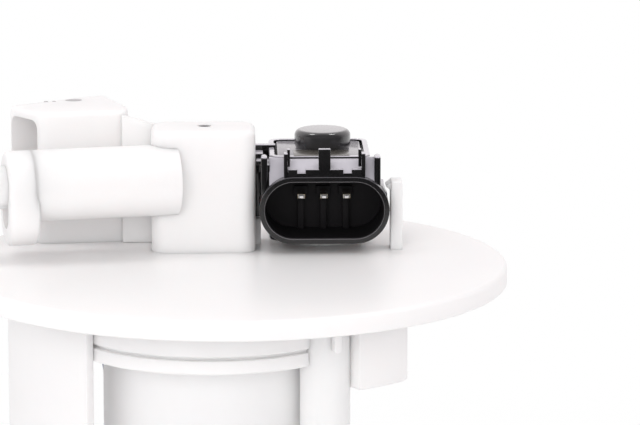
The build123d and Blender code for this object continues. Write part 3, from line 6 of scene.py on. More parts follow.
import json
import logging
import math
from dataclasses import dataclass, field, replace
from enum import Enum
from functools import partial, reduce
from typing import Iterable, Optional, Sequence

import bmesh
import bpy
from mathutils import Matrix, Vector

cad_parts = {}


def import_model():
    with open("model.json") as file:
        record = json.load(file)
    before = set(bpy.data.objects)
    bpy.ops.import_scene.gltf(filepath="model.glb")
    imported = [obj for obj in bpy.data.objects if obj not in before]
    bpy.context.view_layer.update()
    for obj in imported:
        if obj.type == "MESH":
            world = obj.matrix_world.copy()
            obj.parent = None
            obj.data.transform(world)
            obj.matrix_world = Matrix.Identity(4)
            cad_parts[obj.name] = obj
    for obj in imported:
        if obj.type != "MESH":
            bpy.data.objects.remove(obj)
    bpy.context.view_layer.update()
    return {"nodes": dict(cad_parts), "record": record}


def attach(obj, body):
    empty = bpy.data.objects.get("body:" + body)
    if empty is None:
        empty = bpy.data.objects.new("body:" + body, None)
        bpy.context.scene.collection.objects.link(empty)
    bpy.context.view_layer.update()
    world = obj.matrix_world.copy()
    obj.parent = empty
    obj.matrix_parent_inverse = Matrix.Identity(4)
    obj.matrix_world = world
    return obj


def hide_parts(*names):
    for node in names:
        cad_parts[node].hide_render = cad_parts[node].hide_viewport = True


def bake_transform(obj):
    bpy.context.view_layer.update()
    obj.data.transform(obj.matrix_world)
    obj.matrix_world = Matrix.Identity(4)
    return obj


MM = 0.001
TINY = 1e-6
WELD = 1e-4
Point2 = tuple[float, float]
Point3 = tuple[float, float, float]
Colour = tuple[float, float, float, float]
Socket = bpy.types.NodeSocket
Sockets = bpy.types.bpy_prop_collection
log = logging.getLogger("fuel_module")

# Axes and places, in millimetres, that more than one sub-assembly is built on.
RODS: tuple[Point2, Point2] = ((16.215, -31.017), (-16.215, 31.017))
VENT: Point2 = (-5.0, 17.4)
FILTER: Point2 = (-3.3, -16.0)
HOSE_TOP: Point2 = (12.0, 14.5)
HOSE_FOOT: Point2 = (6.0, 8.0)
HOOD_MOUTH: Point2 = (-38.15, 20.75)
HOOD_ANGLE = 35.0
SENSOR_X = 17.15
PUMP_PLUG: Point2 = (-7.5, 7.0)
LID_TOP = -107.0
LID_SEAT = -109.0


class Body(Enum):
    """CAD bodies that pieces ride on."""

    TANK = "flange_assembly"
    VENT = "vent_valve_float"
    CUP = "reservoir_assembly"
    ARM = "float_arm"
    FLOAT = "level_float"


class Surface(Enum):
    """Kinds of surface pattern that a finish can have."""

    MOULDED = "moulded"
    METAL = "metal"
    RUBBER = "rubber"
    CLOTH = "cloth"


# ---- shader node groups
class NodeKit:
    """Adds and joins nodes in one tree."""

    def __init__(self, tree: bpy.types.NodeTree) -> None:
        """Keep the tree that nodes are added to."""
        self.tree = tree

    def add(self, kind: str, **values: object) -> bpy.types.Node:
        """Add a node.

        Args:
            kind: node type.
            values: node properties, such as operation.

        Returns:
            The new node.
        """
        node = self.tree.nodes.new(kind)
        for name, value in values.items():
            setattr(node, name, value)
        return node

    def feed(self, value: object, target: Socket) -> None:
        """Link an input to a socket, or set it to a plain value.

        Args:
            value: output socket or plain value.
            target: input socket.
        """
        if isinstance(value, Socket):
            self.tree.links.new(value, target)
        else:
            target.default_value = value

    def math(self, operation: str, first: object, second: object = 0.0) -> Socket:
        """Add a maths node.

        Args:
            operation: maths operation.
            first: number or socket.
            second: number or socket.

        Returns:
            The node's output.
        """
        node = self.add("ShaderNodeMath", operation=operation)
        self.feed(first, node.inputs[0])
        self.feed(second, node.inputs[1])
        return node.outputs[0]

    def times(self, *factors: object) -> Socket:
        """Multiply numbers and sockets."""
        return reduce(partial(self.math, "MULTIPLY"), factors)

    def plus(self, *terms: object) -> Socket:
        """Add numbers and sockets up."""
        return reduce(partial(self.math, "ADD"), terms)

    def less(self, first: object, second: object) -> Socket:
        """Take the second number or socket from the first."""
        return self.math("SUBTRACT", first, second)

    def mix(self, factor: object, first: object, second: object) -> Socket:
        """Mix two colours.

        Args:
            factor: number or socket from 0 to 1.
            first: colour or socket at 0.
            second: colour or socket at 1.

        Returns:
            The mixed colour.
        """
        node = self.add("ShaderNodeMix", data_type="RGBA")
        for index, value in ((0, factor), (6, first), (7, second)):
            self.feed(value, node.inputs[index])
        return node.outputs[2]

    def noise(self, vector: Socket, scale: object, detail: float = 3.0) -> Socket:
        """Add a noise texture.

        Args:
            vector: where the noise is read.
            scale: number or socket.
            detail: number of octaves.

        Returns:
            The noise value.
        """
        node = self.add("ShaderNodeTexNoise")
        for label, value in (("Vector", vector), ("Scale", scale), ("Detail", detail)):
            self.feed(value, node.inputs[label])
        return node.outputs[0]

    def place(self) -> Socket:
        """Object coordinates of the surface."""
        return self.add("ShaderNodeTexCoord").outputs["Object"]

    def stretch(self, vector: Socket, scale: Point3) -> Socket:
        """Stretch coordinates.

        Args:
            vector: coordinates.
            scale: factor for each axis.

        Returns:
            The stretched coordinates.
        """
        node = self.add("ShaderNodeMapping")
        self.feed(vector, node.inputs["Vector"])
        self.feed(scale, node.inputs["Scale"])
        return node.outputs["Vector"]

    def split(self, vector: Socket) -> Sockets:
        """Split a vector.

        Args:
            vector: socket to split.

        Returns:
            The outputs X, Y and Z.
        """
        node = self.add("ShaderNodeSeparateXYZ")
        self.feed(vector, node.inputs[0])
        return node.outputs

    def clamp(self, value: Socket) -> Socket:
        """Keep a value between 0 and 1.

        Args:
            value: socket to clamp.

        Returns:
            The clamped value.
        """
        node = self.add("ShaderNodeClamp")
        self.feed(value, node.inputs["Value"])
        return node.outputs[0]

    def ramp(self, value: Socket, ends: Sequence[object], levels: Point2 = (0.0, 1.0)) -> Socket:
        """Step smoothly from one level to another.

        Args:
            value: socket that drives the step.
            ends: numbers or sockets where the step begins and ends.
            levels: output before and after the step.

        Returns:
            The stepped value.
        """
        node = self.add("ShaderNodeMapRange", interpolation_type="SMOOTHSTEP")
        labels = ("Value", "From Min", "From Max", "To Min", "To Max")
        for label, given in zip(labels, (value, *ends, *levels)):
            self.feed(given, node.inputs[label])
        return node.outputs[0]


NUMBER, SHADE = "NodeSocketFloat", "NodeSocketColor"
PATTERN_INPUTS: dict[str, tuple[str, object]] = {
    "Colour": (SHADE, (0.8, 0.8, 0.8, 1)), "Tint": (SHADE, (0.6, 0.6, 0.6, 1)), "Scale": (NUMBER, 900.0),
    "Roughness": (NUMBER, 0.4), "Spread": (NUMBER, 0.1)}
PATTERN_OUTPUTS = {"Colour": SHADE, "Roughness": NUMBER, "Height": NUMBER}


class GroupShop:
    """Builds each shared shader group once."""

    TINT_SCALE, FLOW_STRETCH, FLOW_SHARE = 38.0, (40.0, 40.0, 420.0), 0.35
    WEAR_SCALE, WEAR_GAIN, BEVEL_SAMPLES = 700.0, 6.0, 6
    LINE_STRETCH, SPOT_SCALE = (60.0, 60.0, 2600.0), 90.0

    def __init__(self) -> None:
        """Start with no groups."""
        self.made: dict[str, bpy.types.NodeTree] = {}

    def get(self, name: str) -> bpy.types.NodeTree:
        """Give a group, building it on first use.

        Args:
            name: name of the group, which is also the method that fills it.

        Returns:
            The group.
        """
        if name not in self.made:
            tree = bpy.data.node_groups.new(name, "ShaderNodeTree")
            getattr(self, name)(tree)
            self.made[name] = tree
        return self.made[name]

    @staticmethod
    def sockets(tree: bpy.types.NodeTree, inputs: dict[str, tuple[str, object]],
                outputs: dict[str, str]) -> tuple[NodeKit, Sockets, Sockets]:
        """Declare a group's sockets.

        Args:
            tree: the group.
            inputs: name to socket type and default.
            outputs: name to socket type.

        Returns:
            The group's node kit, what it is given and what it gives back.
        """
        for name, (kind, default) in inputs.items():
            socket = tree.interface.new_socket(name=name, in_out="INPUT", socket_type=kind)
            socket.default_value = default
        for name, kind in outputs.items():
            tree.interface.new_socket(name=name, in_out="OUTPUT", socket_type=kind)
        return NodeKit(tree), tree.nodes.new("NodeGroupInput").outputs, tree.nodes.new("NodeGroupOutput").inputs

    def mould_skin(self, tree: bpy.types.NodeTree) -> None:
        """Moulded skin: slow tint change, fine grain, faint flow lines.

        Args:
            tree: group to fill.
        """
        kit, given, result = self.sockets(tree, PATTERN_INPUTS, PATTERN_OUTPUTS)
        place = kit.place()
        slow = kit.noise(place, self.TINT_SCALE, 2.0)
        grain = kit.noise(place, given["Scale"], 2.0)
        flow = kit.noise(kit.stretch(place, self.FLOW_STRETCH), 1.0, 2.0)
        kit.feed(kit.mix(slow, given["Colour"], given["Tint"]), result["Colour"])
        swing = kit.times(kit.less(kit.plus(slow, grain), 1.0), given["Spread"])
        kit.feed(kit.plus(given["Roughness"], swing), result["Roughness"])
        kit.feed(kit.plus(grain, kit.times(flow, self.FLOW_SHARE)), result["Height"])

    def edge_wear(self, tree: bpy.types.NodeTree) -> None:
        """Mask that is 1 on rounded edges, broken up by noise: real wear on tinned blades, a painted edge highlight on
        black mouldings.

        Args:
            tree: group to fill.
        """
        kit, given, result = self.sockets(tree, {"Radius": (NUMBER, 0.0005), "Amount": (NUMBER, 0.5)},
                                          {"Mask": NUMBER})
        bevel = kit.add("ShaderNodeBevel", samples=self.BEVEL_SAMPLES)
        kit.feed(given["Radius"], bevel.inputs["Radius"])
        dot = kit.add("ShaderNodeVectorMath", operation="DOT_PRODUCT")
        kit.feed(bevel.outputs[0], dot.inputs[0])
        kit.feed(kit.add("ShaderNodeNewGeometry").outputs["True Normal"], dot.inputs[1])
        turned = kit.times(kit.less(1.0, dot.outputs["Value"]), self.WEAR_GAIN)
        broken = kit.plus(kit.times(kit.noise(kit.place(), self.WEAR_SCALE), 0.8), 0.4)
        kit.feed(kit.clamp(kit.times(turned, broken, given["Amount"])), result["Mask"])

    def dust_film(self, tree: bpy.types.NodeTree) -> None:
        """Mask of painted sheen: faces that look up are painted lighter in patches, standing in for reflected overhead
        light.

        Args:
            tree: group to fill.
        """
        kit, given, result = self.sockets(
            tree, {"Amount": (NUMBER, 0.3), "Scale": (NUMBER, 160.0), "Low": (NUMBER, 0.12), "High": (NUMBER, 0.55)},
            {"Mask": NUMBER})
        normal = kit.split(kit.add("ShaderNodeNewGeometry").outputs["True Normal"])
        upward = kit.ramp(normal["Z"], (given["Low"], given["High"]))
        patchy = kit.plus(kit.times(kit.noise(kit.place(), given["Scale"]), 0.5), 0.75)
        kit.feed(kit.times(upward, patchy, given["Amount"]), result["Mask"])

    def drawn_lines(self, tree: bpy.types.NodeTree) -> None:
        """Lines of drawn or turned metal.

        Args:
            tree: group to fill.
        """
        kit, given, result = self.sockets(tree, PATTERN_INPUTS, PATTERN_OUTPUTS)
        place = kit.place()
        lines = kit.noise(kit.stretch(place, self.LINE_STRETCH), given["Scale"], 4.0)
        spots = kit.noise(place, self.SPOT_SCALE)
        kit.feed(kit.mix(kit.times(spots, lines), given["Colour"], given["Tint"]), result["Colour"])
        swing = kit.times(kit.less(lines, 0.5), given["Spread"])
        kit.feed(kit.plus(given["Roughness"], swing), result["Roughness"])
        kit.feed(lines, result["Height"])

    def woven_mesh(self, tree: bpy.types.NodeTree) -> None:
        """Square weave, with darker gaps between its threads.

        Args:
            tree: group to fill.
        """
        kit, given, result = self.sockets(tree, PATTERN_INPUTS, PATTERN_OUTPUTS)
        place = kit.split(kit.place())
        waves = [kit.math("ABSOLUTE", kit.math("SINE", kit.times(place[axis], given["Scale"]))) for axis in "XY"]
        weave = kit.math("MAXIMUM", *waves)
        kit.feed(kit.mix(weave, given["Tint"], given["Colour"]), result["Colour"])
        kit.feed(kit.plus(given["Roughness"], kit.times(weave, given["Spread"])), result["Roughness"])
        kit.feed(weave, result["Height"])


@dataclass(frozen=True)
class Finish:
    """One finish: its colours, gloss and pattern."""

    name: str
    slot: str
    colour: Colour
    tint: Colour
    roughness: float
    surface: Surface = Surface.MOULDED
    spread: float = 0.08
    metallic: float = 0.0
    grain: float = 1400.0
    bump: float = 0.00002
    wear: float = 0.0
    wear_colour: Colour = (0.3, 0.3, 0.3, 1)
    wear_width: float = 0.0004
    dust: float = 0.0
    dust_from: float = 0.12
    dust_colour: Colour = (0.45, 0.43, 0.47, 1)
    ior: float = 1.5
    milky: float = 0.0
    coat: float = 0.0


NATURAL = Finish("natural_acetal", "natural_plastic", (0.90, 0.895, 0.885, 1), (0.865, 0.855, 0.86, 1), 0.34,
                 bump=0.000012, milky=0.4)
# painted shade: grey disc in the hood's gate recess; also two small grey dots beside it
GATE = Finish("gate_vestige", "natural_plastic", (0.56, 0.54, 0.55, 1), (0.42, 0.41, 0.42, 1), 0.5)
# painted highlight: the lighter edge colour paints a highlight along the edges of black mouldings
# painted sheen: black faces that look up are painted lilac-grey in patches, standing in for reflected overhead light
BLACK = Finish("black_moulding", "black_plastic", (0.0035, 0.0035, 0.004, 1), (0.007, 0.0065, 0.007, 1), 0.2,
               bump=0.000012, wear=0.2, wear_colour=(0.07, 0.068, 0.072, 1), wear_width=0.00016, dust=0.85,
               dust_colour=(0.66, 0.64, 0.70, 1), ior=1.46, coat=0.7)
# painted sheen: darker grey on the cover's upward faces, faint on the mouth rim
COVER = replace(BLACK, name="cover_black", dust_colour=(0.25, 0.24, 0.265, 1), coat=0.35)
RIM = replace(BLACK, name="plain_black_rim", wear=0.12, dust=0.12)
# painted sheen on the cap's flat top only, standing in for reflected light
CAP = Finish("satin_black_cap", "black_plastic", (0.026, 0.025, 0.027, 1), (0.036, 0.035, 0.037, 1), 0.22,
             bump=0.00001, dust=0.8, dust_from=0.88, dust_colour=(0.27, 0.262, 0.275, 1), ior=1.5, coat=0.8)
# painted shade: dark plate in front of the cap, standing for shade and dark reflection there; brownish tint in patches
STEP = Finish("scuffed_black_step", "black_plastic", (0.035, 0.034, 0.034, 1), (0.15, 0.135, 0.115, 1), 0.3,
              spread=0.2, bump=0.00001, ior=1.5, coat=0.4)
# dull black for the mouth lining and tray floor; in the tower's vent bore the same finish is painted shade
CAVE = Finish("dull_black_moulding", "black_plastic", (0.010, 0.0095, 0.0105, 1), (0.014, 0.013, 0.0145, 1), 0.5,
              bump=0.000012, ior=1.3)
# painted highlight: light grey finish for the thin ring that stands for the mouth bevel's edge highlight
WORN = Finish("polished_black_edge", "black_plastic", (0.28, 0.27, 0.28, 1), (0.07, 0.07, 0.072, 1), 0.2,
              bump=0.000004)
DARK = Finish("dark_moulding", "dark_plastic", (0.055, 0.055, 0.06, 1), (0.035, 0.035, 0.038, 1), 0.42,
              wear=0.3, wear_colour=(0.2, 0.2, 0.2, 1))
STEEL = Finish("bright_steel", "steel", (0.60, 0.61, 0.62, 1), (0.42, 0.43, 0.45, 1), 0.26, Surface.METAL,
               metallic=1.0, grain=1.0, bump=0.000006, wear=0.4, wear_colour=(0.8, 0.8, 0.8, 1))
DRAWN = replace(STEEL, name="drawn_steel", grain=0.12, bump=0.000001)
SPRING = Finish("spring_wire", "spring_steel", (0.46, 0.46, 0.47, 1), (0.30, 0.29, 0.29, 1), 0.30, Surface.METAL,
                metallic=1.0, grain=1.0, bump=0.000006)
TINNED = Finish("tinned_blade", "tinned_brass", (0.70, 0.68, 0.63, 1), (0.55, 0.52, 0.47, 1), 0.24, Surface.METAL,
                metallic=0.95, grain=1.0, bump=0.000004, wear=0.5, wear_colour=(0.75, 0.60, 0.32, 1))
# painted highlight: near-white, barely metallic pin tips standing for the glint on their points
TIP = replace(TINNED, name="tinned_tip", colour=(0.9, 0.9, 0.9, 1), tint=(0.8, 0.79, 0.76, 1), metallic=0.3, wear=0.0)
RUBBER = Finish("fuel_rubber", "rubber", (0.022, 0.022, 0.024, 1), (0.035, 0.034, 0.036, 1), 0.62, Surface.RUBBER,
                grain=900.0, bump=0.00003)
PAPER = Finish("filter_paper", "filter_paper", (0.80, 0.72, 0.50, 1), (0.68, 0.58, 0.38, 1), 0.85, Surface.RUBBER,
               grain=2200.0, bump=0.00004)
CLOTH = Finish("nylon_mesh", "filter_cloth", (0.78, 0.79, 0.77, 1), (0.30, 0.31, 0.31, 1), 0.65, Surface.CLOTH,
               grain=9000.0, bump=0.00008)
FERRITE = Finish("sintered_ferrite", "ferrite", (0.07, 0.07, 0.075, 1), (0.11, 0.105, 0.1, 1), 0.55, Surface.RUBBER,
                 grain=1800.0, bump=0.00002)
CARBON = Finish("pressed_carbon", "carbon", (0.03, 0.03, 0.03, 1), (0.055, 0.055, 0.06, 1), 0.5, Surface.RUBBER,
                grain=2600.0)
FOAM = Finish("float_foam", "float_foam", (0.030, 0.029, 0.028, 1), (0.055, 0.052, 0.05, 1), 0.88, Surface.RUBBER,
              grain=1500.0, bump=0.00012)
CIRCUIT = Finish("circuit_board", "circuit", (0.02, 0.13, 0.06, 1), (0.03, 0.19, 0.08, 1), 0.35)
CERAMIC = Finish("ceramic_card", "ceramic", (0.80, 0.80, 0.78, 1), (0.72, 0.72, 0.70, 1), 0.45)
RED_WIRE = Finish("wire_red", "wire_pump", (0.42, 0.018, 0.016, 1), (0.33, 0.014, 0.013, 1), 0.38)
BLUE_WIRE = Finish("wire_blue", "wire_sender", (0.035, 0.07, 0.30, 1), (0.025, 0.05, 0.22, 1), 0.38)


class FinishShop:
    """Makes the material of each finish once."""

    GROUPS = {Surface.MOULDED: "mould_skin", Surface.METAL: "drawn_lines", Surface.RUBBER: "mould_skin",
              Surface.CLOTH: "woven_mesh"}
    DUST_BAND, DUST_LIMIT = 0.43, 0.995
    COAT_ROUGHNESS = 0.09
    MILKY_SCALE, MILKY_RADIUS = 0.004, (1.0, 0.88, 0.86)

    def __init__(self) -> None:
        """Start with no materials."""
        self.groups = GroupShop()
        self.made: dict[str, bpy.types.Material] = {}

    def get(self, finish: Finish) -> bpy.types.Material:
        """Give the material of a finish, making it on first use.

        Args:
            finish: the finish.

        Returns:
            Its material.
        """
        if finish.name not in self.made:
            self.made[finish.name] = self.build(finish)
        return self.made[finish.name]

    def group(self, kit: NodeKit, name: str, values: dict[str, object]) -> bpy.types.Node:
        """Place a shared group with its own values.

        Args:
            kit: the material's nodes.
            name: group name.
            values: input name to value.

        Returns:
            The group node.
        """
        node = kit.add("ShaderNodeGroup", node_tree=self.groups.get(name))
        for socket, value in values.items():
            node.inputs[socket].default_value = value
        return node

    def build(self, finish: Finish) -> bpy.types.Material:
        """Build one material from its finish.

        Args:
            finish: the finish.

        Returns:
            A new material.
        """
        material = bpy.data.materials.new(finish.name)
        material.use_nodes = True
        kit = NodeKit(material.node_tree)
        shader = material.node_tree.nodes["Principled BSDF"]
        skin = self.group(kit, self.GROUPS[finish.surface], {
            "Colour": finish.colour, "Tint": finish.tint, "Scale": finish.grain,
            "Roughness": finish.roughness, "Spread": finish.spread})
        colour = skin.outputs["Colour"]
        # edge mask: a painted highlight on black mouldings, real wear on tinned blades
        if finish.wear:
            mask = self.group(kit, "edge_wear", {"Radius": finish.wear_width, "Amount": finish.wear})
            colour = kit.mix(mask.outputs[0], colour, finish.wear_colour)
        # painted sheen: faces that look up are mixed towards a lighter colour
        if finish.dust:
            high = min(finish.dust_from + self.DUST_BAND, self.DUST_LIMIT)
            mask = self.group(kit, "dust_film", {"Amount": finish.dust, "Low": finish.dust_from, "High": high})
            colour = kit.mix(mask.outputs[0], colour, finish.dust_colour)
        bump = kit.add("ShaderNodeBump")
        for label, value in (("Strength", 1.0), ("Distance", finish.bump), ("Height", skin.outputs["Height"])):
            kit.feed(value, bump.inputs[label])
        settings = {"Base Color": colour, "Roughness": skin.outputs["Roughness"], "Normal": bump.outputs[0],
                    "Metallic": finish.metallic, "IOR": finish.ior}
        if finish.coat:
            settings |= {"Coat Weight": finish.coat, "Coat Roughness": self.COAT_ROUGHNESS}
        if finish.milky:
            settings |= {"Subsurface Weight": finish.milky, "Subsurface Radius": self.MILKY_RADIUS,
                         "Subsurface Scale": self.MILKY_SCALE}
        for label, value in settings.items():
            kit.feed(value, shader.inputs[label])
        return material


SHOP = FinishShop()


# ---- mesh building
ALONG_X = Matrix.Rotation(math.radians(90), 4, "Y")
FACING_FRONT = Matrix.Rotation(math.radians(90), 4, "X")


def arc(centre: Point2, radius: float, start: float, end: float, steps: int = 6) -> list[Point2]:
    """Points on an arc between two angles in degrees, both ends included."""
    angles = [math.radians(start + (end - start) * number / steps) for number in range(steps + 1)]
    return [(centre[0] + radius * math.cos(a), centre[1] + radius * math.sin(a)) for a in angles]


def rounded_rectangle(middle: Point2, width: float, depth: float, corner: float, steps: int = 6) -> list[Point2]:
    """Corner-rounded rectangle, counter-clockwise.

    Args:
        middle: its centre.
        width: size along X.
        depth: size along Y.
        corner: radius of its corners.
        steps: chords in each corner.

    Returns:
        The points of the loop.
    """
    dx, dy = width / 2 - corner, depth / 2 - corner
    points: list[Point2] = []
    for sx, sy, start in ((1, -1, -90), (1, 1, 0), (-1, 1, 90), (-1, -1, 180)):
        points += arc((middle[0] + sx * dx, middle[1] + sy * dy), corner, start, start + 90, steps)
    return points


def obround(width: float, height: float, steps: int = 20) -> list[Point2]:
    """Rounded slot about the origin, longer along the first axis."""
    reach, radius = (width - height) / 2, height / 2
    return arc((reach, 0), radius, -90, 90, steps) + arc((-reach, 0), radius, 90, 270, steps)


def polar_sector(outer: float, inner: float, start: float, end: float, steps: int = 24) -> list[Point2]:
    """Outline of a curved wall between two radii and two angles."""
    return arc((0, 0), outer, start, end, steps) + arc((0, 0), inner, end, start, steps)


def raised(loop: Sequence[Point2], z: float) -> list[Point3]:
    """Raise a flat loop to a level."""
    return [(x, y, z) for x, y in loop]


def barbs(end: float, side: int) -> list[Point2]:
    """Section of a hose nipple's three barbs, from its root to its end.

    Args:
        end: level of the nipple's end.
        side: 1 where the nipple points down, or -1 where it points up.

    Returns:
        Its (radius, z) corners.
    """
    corners: list[Point2] = []
    for count in (3, 2, 1):
        foot = end + side * 2.8 * count
        corners += [(3.2, foot), (3.7, foot - side * 0.1), (3.25, foot - side * 2.5)]
    return corners + [(3.1, end), (2.0, end)]


def heading(x: float, y: float, z: float, angle: float) -> Matrix:
    """Matrix of a place turned about the upright axis by an angle in degrees."""
    return Matrix.Translation((x, y, z)) @ Matrix.Rotation(math.radians(angle), 4, "Z")


def along_x(x: float, y: float, z: float) -> Matrix:
    """Matrix that lays an upright shape along X and moves it."""
    return Matrix.Translation((x, y, z)) @ ALONG_X


def put(name: str, data: bpy.types.ID) -> bpy.types.Object:
    """Put an object with some data into the scene.

    Args:
        name: name of the object.
        data: its mesh, curve, camera or lamp.

    Returns:
        The object.
    """
    thing = bpy.data.objects.new(name, data)
    bpy.context.scene.collection.objects.link(thing)
    return thing


def put_mesh(name: str, bm: bmesh.types.BMesh) -> bpy.types.Object:
    """Put a mesh into the scene and free what it was built with.

    Args:
        name: name of the object and its mesh.
        bm: mesh under construction.

    Returns:
        The object.
    """
    mesh = bpy.data.meshes.new(name)
    bm.to_mesh(mesh)
    bm.free()
    return put(name, mesh)


class Mould:
    """Collects the mesh of one piece, in millimetres."""

    def __init__(self) -> None:
        """Start empty."""
        self.bm = bmesh.new()

    def loft(self, rings: Sequence[Sequence[Point3]], closed: bool = False) -> "Mould":
        """Skin a row of rings of equal length; the ends are capped unless closed.

        Args:
            rings: loops of points.
            closed: whether the last ring joins the first.

        Returns:
            This mould.
        """
        loops = [[self.bm.verts.new(point) for point in ring] for ring in rings]
        pairs = list(zip(loops, loops[1:])) + ([(loops[-1], loops[0])] if closed else [])
        for low, high in pairs:
            for number in range(len(low)):
                after = (number + 1) % len(low)
                self.bm.faces.new((low[number], low[after], high[after], high[number]))
        if not closed:
            self.bm.faces.new(loops[0])
            self.bm.faces.new(loops[-1])
        return self

    def lathe(self, outline: Sequence[Point2], place: Point2 = (0, 0), steps: int = 96) -> "Mould":
        """Turn a closed (radius, z) outline about an upright axis.

        Args:
            outline: corners of the section.
            place: X and Y of the axis.
            steps: number of facets.

        Returns:
            This mould.
        """
        rows: list[list[bmesh.types.BMVert]] = []
        for radius, z in outline:
            if radius < TINY:
                rows.append([self.bm.verts.new((place[0], place[1], z))])
                continue
            ring = [2 * math.pi * number / steps for number in range(steps)]
            rows.append([self.bm.verts.new((place[0] + radius * math.cos(a), place[1] + radius * math.sin(a), z))
                         for a in ring])
        for low, high in zip(rows, rows[1:] + rows[:1]):
            if len(low) == 1 and len(high) == 1:
                continue
            for number in range(steps):
                after = (number + 1) % steps
                corners = [low[number % len(low)], low[after % len(low)], high[after % len(high)],
                           high[number % len(high)]]
                self.bm.faces.new(list(dict.fromkeys(corners)))
        return self

    def cylinder(self, radius: float, start: float, end: float, place: Point2 = (0, 0), steps: int = 32) -> "Mould":
        """Add an upright cylinder between two levels, used for pins and for bores."""
        return self.lathe([(0, start), (radius, start), (radius, end), (0, end)], place, steps)

    def prism(self, outline: Sequence[Point2], z_range: Point2, corner: float = 0.0, top: float = 0.0,
              bottom: float = 0.0, steps: int = 5) -> "Mould":
        """Upright prism with rounded edges.

        Args:
            outline: loop of points.
            z_range: bottom and top.
            corner: rounding of the upright edges.
            top: rounding round the top face.
            bottom: rounding round the bottom face.
            steps: facets in each rounding.

        Returns:
            This mould.
        """
        part = bmesh.new()
        base = part.faces.new([part.verts.new((x, y, z_range[0])) for x, y in outline])
        grown = bmesh.ops.extrude_face_region(part, geom=[base])
        for item in grown["geom"]:
            if isinstance(item, bmesh.types.BMVert):
                item.co.z = z_range[1]
        if corner:
            self.round_off(part, [e for e in part.edges if abs(e.verts[0].co.z - e.verts[1].co.z) > TINY],
                           corner, steps)
        for height, size in ((z_range[1], top), (z_range[0], bottom)):
            if size:
                edges = [e for e in part.edges if all(abs(v.co.z - height) < TINY for v in e.verts)]
                self.round_off(part, edges, size, steps)
        return self.take(part)

    @staticmethod
    def round_off(part: bmesh.types.BMesh, edges: Sequence[bmesh.types.BMEdge], radius: float, steps: int) -> None:
        """Round some edges of a mesh."""
        bmesh.ops.bevel(part, geom=edges, offset=radius, segments=steps, affect="EDGES", profile=0.5)

    def block(self, low: Point3, high: Point3, edge: float = 0.15, steps: int = 2) -> "Mould":
        """Box with all its edges rounded.

        Args:
            low: lowest corner.
            high: highest corner.
            edge: rounding.
            steps: facets in the rounding.

        Returns:
            This mould.
        """
        part = bmesh.new()
        bmesh.ops.create_cube(part, size=1.0)
        size, middle = Vector(high) - Vector(low), (Vector(high) + Vector(low)) / 2
        for vertex in part.verts:
            vertex.co = Vector((vertex.co.x * size.x, vertex.co.y * size.y, vertex.co.z * size.z)) + middle
        if edge:
            self.round_off(part, part.edges[:], edge, steps)
        return self.take(part)

    def spokes(self, low: Point3, high: Point3, edge: float, angles: Iterable[float],
               place: Point2 = (0, 0)) -> "Mould":
        """Equal bars set round an upright axis.

        Args:
            low: lowest corner of the bar at angle 0, seen from the axis.
            high: its highest corner.
            edge: rounding of its edges.
            angles: direction of each bar in degrees.
            place: X and Y of the axis.

        Returns:
            This mould.
        """
        for angle in angles:
            self.add(Mould().block(low, high, edge), heading(*place, 0, angle))
        return self

    def take(self, part: bmesh.types.BMesh) -> "Mould":
        """Add another mesh and free it.

        Args:
            part: mesh to add.

        Returns:
            This mould.
        """
        mesh = bpy.data.meshes.new("part")
        part.to_mesh(mesh)
        part.free()
        self.bm.from_mesh(mesh)
        bpy.data.meshes.remove(mesh)
        return self

    def add(self, other: "Mould", matrix: Matrix = Matrix.Identity(4)) -> "Mould":
        """Add another mould, moved by a matrix."""
        bmesh.ops.transform(other.bm, matrix=matrix, verts=other.bm.verts[:])
        return self.take(other.bm)

    def turn(self, matrix: Matrix) -> "Mould":
        """Turn everything made so far."""
        self.bm.transform(matrix)
        return self

    def carve(self, *cutters: "Mould") -> "Mould":
        """Cut other moulds out of this one.

        Args:
            cutters: shapes to take away.

        Returns:
            This mould.
        """
        for cutter in cutters:
            blank, tool = self.temporary(self.bm), self.temporary(cutter.bm)
            modifier = blank.modifiers.new("cut", "BOOLEAN")
            modifier.object, modifier.solver, modifier.use_self = tool, "EXACT", True
            mesh = bpy.data.meshes.new_from_object(blank.evaluated_get(bpy.context.evaluated_depsgraph_get()))
            self.bm = bmesh.new()
            self.bm.from_mesh(mesh)
            for thing in (blank, tool):
                data = thing.data
                bpy.data.objects.remove(thing)
                bpy.data.meshes.remove(data)
            bpy.data.meshes.remove(mesh)
        return self

    @staticmethod
    def temporary(bm: bmesh.types.BMesh) -> bpy.types.Object:
        """Turn a mesh into an object for a modifier.

        Args:
            bm: mesh under construction; it is freed.

        Returns:
            The object.
        """
        bmesh.ops.recalc_face_normals(bm, faces=bm.faces[:])
        thing = put_mesh("temporary", bm)
        bpy.context.view_layer.update()
        return thing

    def piece(self, name: str, body: Body, finish: Finish, stands_for: Sequence[str] = (),
              smooth: float = 34.0) -> bpy.types.Object:
        """Make the finished piece, in metres, riding on its body.

        Args:
            name: piece name.
            body: body that it rides on.
            finish: its finish.
            stands_for: CAD nodes that it replaces.
            smooth: angle in degrees above which an edge stays sharp.

        Returns:
            The piece.
        """
        bmesh.ops.remove_doubles(self.bm, verts=self.bm.verts[:], dist=WELD)
        bmesh.ops.recalc_face_normals(self.bm, faces=self.bm.faces[:])
        bmesh.ops.scale(self.bm, vec=(MM, MM, MM), verts=self.bm.verts[:])
        return dress(put_mesh(name, self.bm), body, finish, stands_for, smooth)


